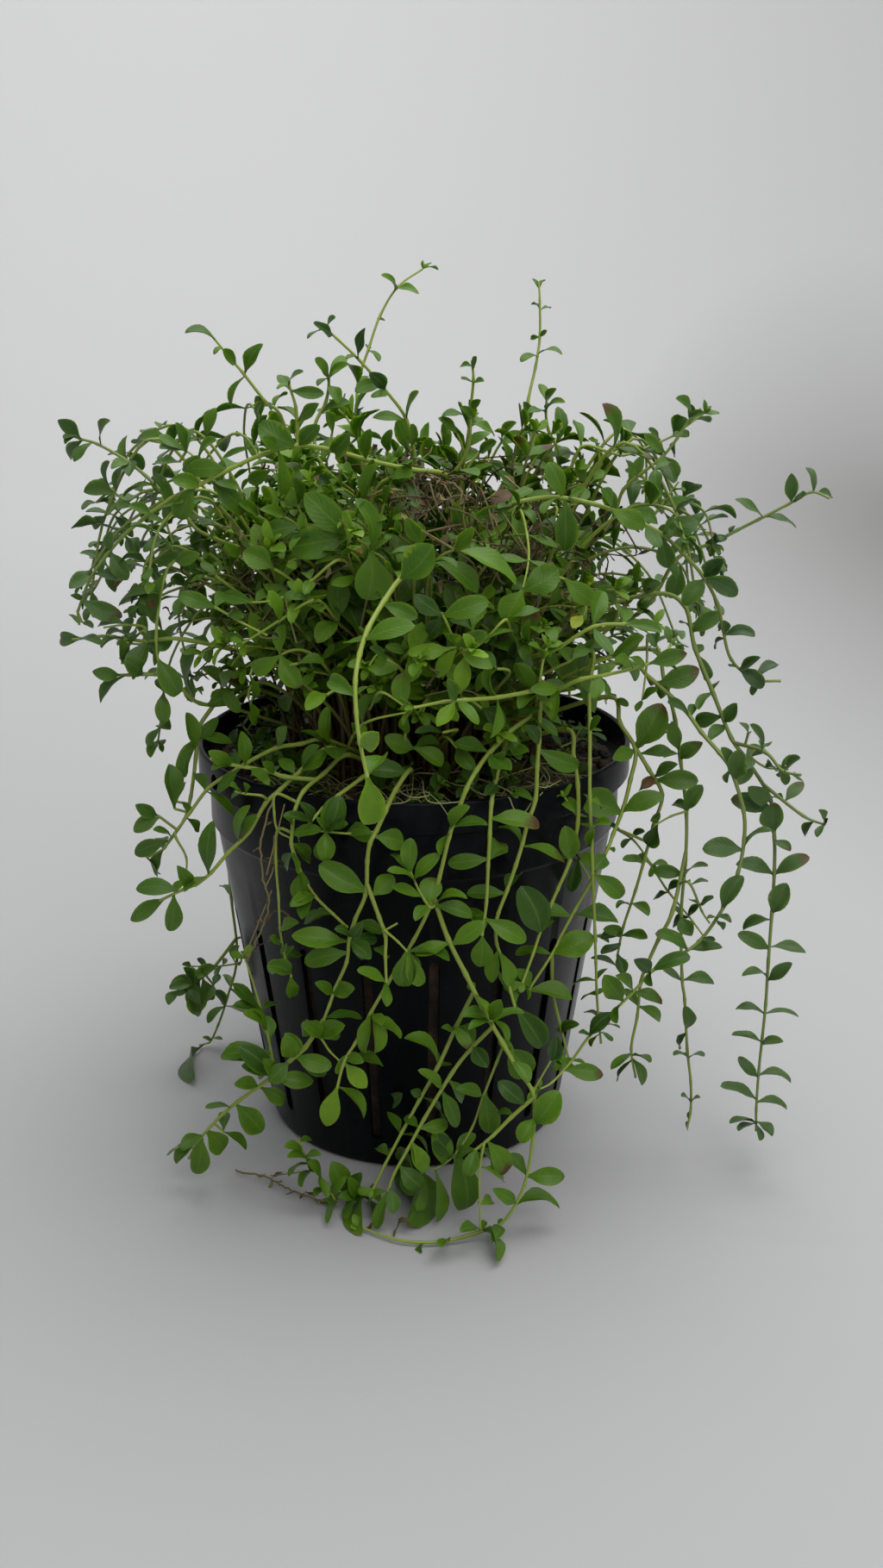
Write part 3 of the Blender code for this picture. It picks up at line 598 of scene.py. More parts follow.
# The layers of young leaves at a tip: size, and how far they lean forward
YOUNG_LAYERS = ((0.55, 0.7), (0.36, 1.0), (0.2, 1.3))
CAMERA_FORWARD = np.array((0, math.cos(CAMERA_PITCH), -math.sin(CAMERA_PITCH)))
CAMERA_DOWN = np.array((0, -math.sin(CAMERA_PITCH), -math.cos(CAMERA_PITCH)))
CAMERA_POINT = np.array(CAMERA_PLACE)
TO_CAMERA = np.array((0, -1.0, 0))
STEPS_PER_NODE = 6
STEM_SIDES = 8
JOINT_SWELL = 1.22
STEM_TAPER = 0.42
# A fork's first point gives way to its parent's own when the two are nearer than this
FORK_GAP = 8 * MM
# The stems behind the mound, which no leaf of the photograph belongs to
STANDING_BACK = ("stem_back_middle", "stem_back_right", "stem_back_left")
# How far in and down a stem is rooted below the first point of its route: share of the reach, drop
ROOT_IN_FRONT = (0.6, 7 * MM)
ROOT_AT_BACK = (0.3, 14 * MM)
box_low = np.array(cad_box[0]) + 0.2 * MM
box_high = np.array(cad_box[1]) - 0.2 * MM


def from_photo(pixel_x, pixel_y, depth):
    """The place at this depth, in metres along Y, that the photograph shows at this pixel."""
    across = (pixel_x - PHOTO_CENTRE[0]) / FOCAL_LENGTH_PIXELS
    down = (pixel_y - PHOTO_CENTRE[1]) / FOCAL_LENGTH_PIXELS
    ray = CAMERA_FORWARD + CAMERA_DOWN * down + np.array((across, 0, 0))
    place = CAMERA_POINT + ray * (depth - CAMERA_POINT[1]) / ray[1]
    place[2] = max(place[2], 0.9 * MM)
    return place


def to_photo(places):
    """The pixels of the photograph at which these places are seen."""
    seen = places - CAMERA_POINT
    far = seen @ CAMERA_FORWARD
    across = PHOTO_CENTRE[0] + FOCAL_LENGTH_PIXELS * seen[:, 0] / far
    return np.stack((across, PHOTO_CENTRE[1] + FOCAL_LENGTH_PIXELS * (seen @ CAMERA_DOWN) / far), axis=1)


def stem_nodes(depths, route):
    """The places of a stem's joints, with its depth read evenly along the route."""
    along = np.linspace(0, len(depths) - 1, len(route))
    read = np.interp(along, range(len(depths)), depths)
    return [from_photo(pixel_x, pixel_y, depth * MM) for (pixel_x, pixel_y), depth in zip(route, read)]


def smooth_path(places, steps):
    """A smooth curve through the places, with this many steps from one to the next."""
    points = np.array(places)
    before = np.vstack([2 * points[0] - points[1], points, 2 * points[-1] - points[-2]])
    path = []
    for index in range(len(points) - 1):
        p0, p1, p2, p3 = before[index:index + 4]
        for step in range(steps):
            t = step / steps
            bent = (2 * p0 - 5 * p1 + 4 * p2 - p3) * t * t + (3 * p1 - p0 - 3 * p2 + p3) * t ** 3
            path.append(0.5 * (2 * p1 + (p2 - p0) * t + bent))
    path.append(points[-1])
    return np.array(path)


def unit(vector):
    return vector / max(np.linalg.norm(vector), 1e-9)


def pot_radius(height):
    """The pot's outer radius at this height, and nothing above its rim."""
    step = POT_HEIGHT - LIP_BAND
    heights = (0, COLLAR_BOTTOM, COLLAR_BOTTOM + 1 * MM, step, step + 0.5 * MM, POT_HEIGHT)
    radii = (BASE_RADIUS, BODY_TOP_RADIUS, COLLAR_RADIUS, COLLAR_RADIUS, LIP_RADIUS, LIP_RADIUS)
    return np.interp(height, heights, radii, right=0)


def wrapped(rings, sides):
    """The first cap and the walls of a closed form made of rings of points."""
    faces = [tuple(range(sides - 1, -1, -1))]
    for low in range(0, (rings - 1) * sides, sides):
        for corner in range(sides):
            after = (corner + 1) % sides
            faces.append((low + corner, low + after, low + sides + after, low + sides + corner))
    return faces


class Growth:
    """One grown piece: its tubes and blades, with a tone, a decay and a place on the blade for each point."""

    def __init__(self):
        self.points = []
        self.faces = []
        self.finish = []
        self.marks = []
        self.count = 0

    def add(self, points, faces, finish, tone, decay, along, across):
        start = self.count
        self.points.append(points)
        self.faces += [tuple(start + corner for corner in face) for face in faces]
        self.finish += [finish] * len(faces)
        marks = np.empty((len(points), 4))
        marks[:, 0], marks[:, 1], marks[:, 2], marks[:, 3] = tone, decay, along, across
        self.marks.append(marks)
        self.count += len(points)

    def tube(self, path, radii, sides, tone):
        """A closed tube of this many sides along the path, in the piece's first finish."""
        tangents = np.gradient(path, axis=0)
        side = unit(np.cross(tangents[0], (0.31, 0.83, 0.47)))
        turns = np.arange(sides) * math.tau / sides
        cosines, sines = np.cos(turns)[:, None], np.sin(turns)[:, None]
        rings = []
        for place, tangent, radius in zip(path, tangents, np.broadcast_to(radii, len(path))):
            tangent = unit(tangent)
            side = unit(side - tangent * side.dot(tangent))
            rings.append(place + (side * cosines + np.cross(tangent, side) * sines) * radius)
        last_cap = tuple(range((len(path) - 1) * sides, len(path) * sides))
        along = np.repeat(np.linspace(0, 1, len(path)), sides)
        self.add(np.concatenate(rings), wrapped(len(path), sides) + [last_cap], 0, tone, 0.0, along, 0)

    def blade(self, outline, base, tip, face, width, arch, sweep, fold, wave, tone, decay, chance):
        """A leaf from base to tip: a thin closed blade, folded along its midrib and arched lengthways."""
        fine = outline is FINE_BLADE
        columns = np.array([-1, -0.5, 0, 0.5, 1, 0.5, 0, -0.5]) if fine else np.array([-1, 0, 1, 0])
        lift = np.array([0, 1, 1, 1, 0, -1, -1, -1]) if fine else np.array([0, 1, 0, -1])
        length = np.linalg.norm(tip - base)
        direction = unit(tip - base)
        normal = unit(face - direction * face.dot(direction))
        side = np.cross(direction, normal)
        shares = np.array([share for share, _ in outline])
        halves = np.array([wide for _, wide in outline]) ** chance.uniform(*PLUMPNESS) * width / 2
        columns = columns * (1 + chance.uniform(*LOPSIDED) * np.sign(columns))
        bow = 4 * shares * (1 - shares) * length
        hook = chance.uniform(*HOOK)
        centre = base + direction * (shares * length)[:, None]
        centre = centre + normal * (arch * bow + hook * length * shares ** 3)[:, None]
        centre = centre + side * (sweep * bow)[:, None]
        slope = 4 * arch * (1 - 2 * shares) + 3 * hook * shares ** 2
        up = normal - direction * slope[:, None]
        up = up / np.linalg.norm(up, axis=1)[:, None]
        ripple = wave * np.sin(chance.uniform(0, math.tau) + shares * 8) * halves
        cupped = fold * (0.55 * abs(columns) + 0.45 * columns ** 2)
        rise = halves[:, None] * cupped + ripple[:, None] * columns + lift * BLADE_HALF_THICKNESS
        points = centre[:, None] + side * (halves[:, None] * columns)[..., None]
        points = points + up[:, None] * rise[..., None]
        points = np.vstack([points[:-1].reshape(-1, 3), centre[-1:]])
        ring, rings = len(columns), len(outline) - 1
        low, last = (rings - 1) * ring, rings * ring
        faces = wrapped(rings, ring)
        faces += [(low + corner, low + (corner + 1) % ring, last) for corner in range(ring)]
        along = np.append(np.repeat(shares[:-1], ring), 1)
        across = np.append(np.tile(columns, rings), 0)
        self.add(in_free_space(points, base), faces, 1, tone, decay, along, across)

    def to_object(self, name, finishes):
        mesh = bpy.data.meshes.new(name)
        points = np.concatenate(self.points)
        low = points[:, 2] < 1 * MM
        points[low, 2] = 1 * MM * np.exp(points[low, 2] / MM - 1)
        mesh.from_pydata(points, [], self.faces)
        mesh.polygons.foreach_set("material_index", self.finish)
        marks = np.concatenate(self.marks)
        for index, mark in enumerate(("tone", "decay", "along", "across")):
            layer = mesh.attributes.new(mark, "FLOAT", "POINT")
            layer.data.foreach_set("value", np.ascontiguousarray(marks[:, index], dtype=np.float32))
        for finish in finishes:
            mesh.materials.append(finish)
        mesh.shade_smooth()
        mesh.set_sharp_from_angle(angle=math.radians(80))
        piece = put_in_scene(name, mesh)
        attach(piece, "root")
        return piece


def in_free_space(points, base):
    """A leaf's points, pushed out of the pot's wall and drawn to its base until the CAD box holds them."""
    if np.hypot(*base[:2]) > pot_radius(base[2]) > 0:
        reach = np.hypot(points[:, 0], points[:, 1])
        kept = pot_radius(points[:, 2]) + 0.5 * MM
        points[:, :2] *= np.maximum(1, kept / reach)[:, None]
    for _ in range(8):
        if (points[:, :2] >= box_low[:2]).all() and (points <= box_high).all():
            break
        points = base + (points - base) * 0.85
    return points


def dulled_outside(finish, colour, dull_colour, most):
    """A colour that turns greyer on the stems that hang far out to the left and right."""
    sideways = finish.reckon("ABSOLUTE", finish.step("SeparateXYZ", "X", {"Vector": finish.place}))
    return finish.blend(finish.ramp(sideways, {0.036: 0, 0.066: most}), colour, dull_colour)


def leaf_green():
    """Leaves: mottled greens by their tone, a paler midrib, fine side veins, and brown where they decay."""
    leaf = Finish("leaf_green")
    mottle = leaf.cloud(650, 4, 0.6)
    uneven = leaf.reckon("MULTIPLY_ADD", mottle, 0.2, -0.1)
    green = leaf.ramp(leaf.reckon("ADD", leaf.mark("tone"), uneven, use_clamp=True), {
        0.0: (0.020, 0.054, 0.010), 0.35: (0.049, 0.121, 0.008), 0.65: (0.094, 0.200, 0.008),
        0.88: (0.165, 0.305, 0.012), 1.0: (0.380, 0.390, 0.030),
    })
    off_rib = leaf.reckon("ABSOLUTE", leaf.mark("across"))
    ribbed = leaf.blend(leaf.ramp(off_rib, {0.0: 0.42, 0.12: 0}), green, (0.15, 0.26, 0.03, 1))
    dulled = dulled_outside(leaf, ribbed, (0.056, 0.094, 0.045, 1), 0.62)
    reach = leaf.reckon("ADD", leaf.mark("along"), 0.35)
    worn = leaf.reckon("MULTIPLY_ADD", reach, leaf.mark("decay"), uneven)
    veins = leaf.reckon("MULTIPLY_ADD", off_rib, -0.35, leaf.mark("along"))
    vein_wave = leaf.reckon("SINE", leaf.reckon("MULTIPLY", veins, 50))
    height = leaf.reckon("MULTIPLY_ADD", vein_wave, 0.2, mottle)
    return leaf.coat({
        "Base Color": leaf.blend(leaf.ramp(worn, {0.48: 0, 0.58: 1}), dulled, (0.088, 0.046, 0.015, 1)),
        "Roughness": leaf.ramp(mottle, {0.3: 0.36, 0.7: 0.52}),
        "Normal": leaf.relief(height, 0.3, 0.00015),
        "Specular IOR Level": 0.25,
        "Subsurface Weight": 0.18,
        "Subsurface Radius": (0.4, 0.7, 0.1),
        "Subsurface Scale": 0.001,
    })


def stem_green():
    """Stems: pale green, browner where their tone is low."""
    stem = Finish("stem_green")
    fibre = stem.cloud(900, 3, 0.6)
    green = stem.ramp(stem.reckon("MULTIPLY_ADD", fibre, 0.2, stem.mark("tone")), {
        0.15: (0.075, 0.050, 0.020), 0.38: (0.150, 0.160, 0.035), 0.60: (0.230, 0.300, 0.045),
        1.0: (0.330, 0.430, 0.070),
    })
    return stem.coat({
        "Base Color": dulled_outside(stem, green, (0.150, 0.200, 0.085, 1), 0.6),
        "Roughness": 0.45,
        "Normal": stem.relief(fibre, 0.3, 0.0001),
        "Specular IOR Level": 0.35,
        "Subsurface Weight": 0.25,
        "Subsurface Radius": (0.5, 0.6, 0.1),
        "Subsurface Scale": 0.001,
    })


def scatter(chance, reach):
    """A random offset of up to this much along each axis."""
    return np.array([chance.uniform(-reach, reach) for _ in range(3)])


def grow_leaf(growth, outline, base, direction, size, tone, decay, toward, chance):
    """A leaf that isn't traced: it grows this way from its base, its upper face to the light."""
    length = LEAF_LENGTH * size * chance.uniform(0.8, 1.15)
    face = np.array((0, 0, 0.7)) + toward * chance.uniform(0.1, 0.8) + scatter(chance, 0.4)
    growth.blade(
        outline, base, base + unit(direction) * length, face, length * LEAF_WIDTH * chance.uniform(0.8, 1.25),
        chance.uniform(*ARCH), chance.uniform(*SWEEP), chance.uniform(*FOLD), chance.uniform(*WAVE),
        min(max(tone + chance.uniform(-0.14, 0.14), 0), 0.8), decay, chance,
    )


def grow_pair(growth, outline, place, tangent, axis, size, tone, decay, forward, toward, chance):
    """Two opposite leaves at a joint, one each side of the stem."""
    for side in (1, -1):
        lean = forward + chance.uniform(-0.25, 0.25)
        direction = axis * side * math.cos(lean) + tangent * math.sin(lean) + np.array((0, 0, 0.12))
        worn = decay if chance.random() < 0.6 else 0.0
        grow_leaf(growth, outline, place, direction, size, tone, worn, toward, chance)


def grow_tip(growth, outline, place, tangent, toward, size, tone, chance):
    """The small young leaves that close around a shoot's tip."""
    axis = unit(np.cross(tangent, toward) + 0.01)
    other = np.cross(tangent, axis)
    for pair, (grown, forward) in zip((axis, other, axis), YOUNG_LAYERS):
        young = size * grown
        grow_pair(growth, outline, place, tangent, pair, young, tone + 0.22, 0, forward, toward, chance)


def leafy_shoot(growth, path, nodes, size, tone, chance, outline, toward, worn_share):
    """Pairs of leaves at these points of a path, each turned across the last, and young leaves at its tip."""
    tangents = np.gradient(path, axis=0)
    for count, node in enumerate(nodes):
        tangent = unit(tangents[node])
        axis = unit(np.cross(tangent, toward))
        other = np.cross(tangent, axis)
        turn = chance.uniform(-0.5, 0.5) + (math.radians(75) if count % 2 else 0)
        at = node / (len(path) - 1)
        grown = size * (0.8 + 0.35 * math.sin(math.pi * min(at + 0.15, 1)))
        decay = chance.uniform(0.36, 0.6) if chance.random() < worn_share else 0.0
        grow_pair(
            growth, outline, path[node], tangent, axis * math.cos(turn) + other * math.sin(turn), grown,
            tone + 0.15 * at ** 3, decay, 0.3 + 0.4 * at ** 3, toward, chance,
        )
    grow_tip(growth, outline, path[-1], unit(tangents[-1]), toward, size, tone, chance)


def stem_places(name, made):
    """The places of a stem's joints, from its parent's nearest point or from a root deeper in the mound."""
    if name not in made:
        _, depths, route, *forked_from = STEMS[name]
        places = stem_nodes(depths, route)
        if forked_from:
            parent = smooth_path(stem_places(forked_from[0], made), STEPS_PER_NODE)
            apart = np.linalg.norm(parent - places[0], axis=1)
            if apart.min() < FORK_GAP:
                places.pop(0)
            places.insert(0, parent[max(np.argmin(apart) - 2, 0)])
        else:
            inward, drop = ROOT_AT_BACK if name in STANDING_BACK else ROOT_IN_FRONT
            places.insert(0, np.array((places[0][0] * inward, places[0][1] * inward, places[0][2] - drop)))
        made[name] = places
    return made[name]


def bare_stem(growth, path, thick, owner):
    """A stem's tube, a little thicker at its joints and tapering to its tip."""
    share = np.linspace(0, 1, len(path))
    radii = STEM_RADIUS * thick * (1 - STEM_TAPER * share ** 1.3)
    radii[STEPS_PER_NODE::STEPS_PER_NODE] *= JOINT_SWELL
    path[:, 2] = np.maximum(path[:, 2], 0.9 * MM)
    growth.tube(path, radii, STEM_SIDES, 0.5 + 0.3 * share.repeat(STEM_SIDES))
    grown_paths.append((path, owner))


def make_long_stems():
    made = {}
    for name, (size, *_) in STEMS.items():
        path = smooth_path(stem_places(name, made), STEPS_PER_NODE)
        growth = Growth()
        bare_stem(growth, path, 0.42 + 0.58 * size, name)
        grown_pieces[name] = growth
        if name in STANDING_BACK:
            nodes = range(STEPS_PER_NODE * 2, len(path), STEPS_PER_NODE - 1)
            leafy_shoot(growth, path, nodes, 1.0, 0.45, random.Random(name), FINE_BLADE, -TO_CAMERA, 0.1)


leaf_finish, stem_finish = leaf_green(), stem_green()
grown_pieces = {}
grown_paths = []
make_long_stems()

# Side twigs. Finer stems that leave the long ones or show at the face of the mound, each as thin as a
# bristle. They grew with the stems. The first table gives each a depth at its root and tip, in millimetres.
# Those of the second lie on the face of the mound.
TWIGS = (
    (-53, -53, ((498, 1052), (486, 1033), (476, 1011))),
    (-54, -54, ((445, 1080), (461, 1071))),
    (-55, -55, ((447, 1080), (462, 1093), (475, 1107))),
    (-54, -54, ((619, 1266), (639, 1230))),
    (-44, -52, ((662, 1232), (641, 1255), (625, 1264))),
    (-51, -50, ((585, 1212), (576, 1232), (560, 1273), (547, 1309), (525, 1342), (502, 1358))),
    (-59, -60, ((561, 1328), (557, 1350), (556, 1373), (557, 1427))),
    (-47, -47, ((346, 1322), (354, 1341), (381, 1379), (392, 1408))),
    (-20, -10, ((190, 605), (165, 592), (143, 580), (125, 563))),
    (-27, -25, ((250, 560), (235, 545), (225, 530), (213, 521))),
    (-42, -42, ((303, 923), (285, 921), (272, 918))),
    (-46, -46, ((320, 921), (318, 943), (322, 963), (336, 972))),
    (-32, -32, ((204, 972), (216, 995), (215, 1020))),
    (-25, -25, ((168, 728), (145, 725), (120, 728))),
    (-25, -25, ((172, 747), (150, 746), (124, 736))),
    (-25, -25, ((167, 731), (150, 748), (141, 770))),
    (-30, -30, ((797, 940), (778, 947), (760, 957))),
    (-34, -34, ((800, 1025), (814, 1057), (823, 1071))),
    (4, 4, ((782, 505), (799, 492), (816, 480))),
    (-10, -10, ((743, 615), (763, 592), (778, 571), (787, 559))),
    (5, 5, ((695, 553), (695, 530), (692, 510))),
    (-28, -28, ((871, 878), (888, 890), (905, 892))),
    (-25, -25, ((669, 993), (686, 1027), (690, 1085))),
    (-35, -35, ((668, 945), (655, 925))),
    (-33, -36, ((752, 735), (750, 770), (745, 812))),
    (-44, -44, ((432, 1375), (422, 1391), (411, 1399))),
    (-42, -42, ((411, 1399), (400, 1388), (396, 1372))),
    (-50, -49, ((372, 1204), (382, 1219), (393, 1230))),
    (-46, -46, ((322, 963), (320, 1000), (323, 1040), (325, 1080), (331, 1112), (338, 1133))),
    (-45, -36, ((319, 1246), (314, 1218), (308, 1190), (301, 1165), (292, 1135), (284, 1112))),
    (-47, -46, ((359, 957), (360, 962), (383, 965), (404, 967), (433, 965))),
    (-20, -24, ((751, 999), (774, 1033), (798, 1062), (816, 1086))),
    (-22, -20, ((716, 962), (735, 975), (756, 1003))),
    (26, 22, ((295, 1085), (281, 1110), (277, 1117), (250, 1121), (222, 1121))),
)
FACE_TWIGS = (
    ((395, 649), (360, 675), (340, 688), (315, 697), (290, 699)),
    ((366, 696), (327, 718), (305, 732), (282, 746)),
    ((215, 690), (250, 705), (280, 722), (310, 737)),
    ((603, 592), (611, 620), (613, 650), (606, 685)),
    ((512, 712), (524, 737), (532, 752)),
    ((587, 719), (565, 740), (540, 760)),
    ((442, 803), (477, 825)),
    ((421, 840), (477, 825)),
    ((626, 790), (630, 765), (634, 752)),
)
# The mound's outline from the rim up: height and radius in millimetres, narrow where it leaves the pot
MOUND_OUTLINE = (
    (84, 33), (88, 35), (92, 39), (97, 44), (104, 48.5), (112, 50.5), (120, 50), (127, 47), (133, 42),
    (139, 34), (144, 24), (148, 8),
)
MOUND_TOP = 148 * MM
TWIG_THICKNESS = 0.62
TWIG_REACH = 9 * MM
TWIG_ROOT = np.array((0, 14, -9)) * MM


def mound_radius(height):
    heights, radii = zip(*MOUND_OUTLINE)
    return np.interp(height / MM, heights, radii) * MM


def on_mound(pixel_x, pixel_y, sunk):
    """The place where the photograph's line of sight at this pixel is this far inside the mound's face."""
    for step in range(-62, 40):
        place = from_photo(pixel_x, pixel_y, step * MM)
        if place[2] < MOUND_TOP and np.hypot(*place[:2]) <= mound_radius(place[2]) - sunk:
            return place
    return None


def make_twigs():
    growth = Growth()
    routes = [stem_nodes((root, tip), route) for root, tip, route in TWIGS]
    stems = np.concatenate([stem_path for stem_path, _ in grown_paths])
    for places in routes:
        apart = np.linalg.norm(stems - places[0], axis=1)
        if apart.min() < TWIG_REACH:
            places.insert(0, stems[np.argmin(apart)])
    for route in FACE_TWIGS:
        places = [on_mound(x, y, 1 * MM) for x, y in route]
        places.insert(0, places[0] + 0.5 * (places[0] - places[1]) + TWIG_ROOT)
        routes.append(places)
    for places in routes:
        bare_stem(growth, smooth_path(places, STEPS_PER_NODE), TWIG_THICKNESS, "fine_twigs")
    grown_pieces["fine_twigs"] = growth


make_twigs()

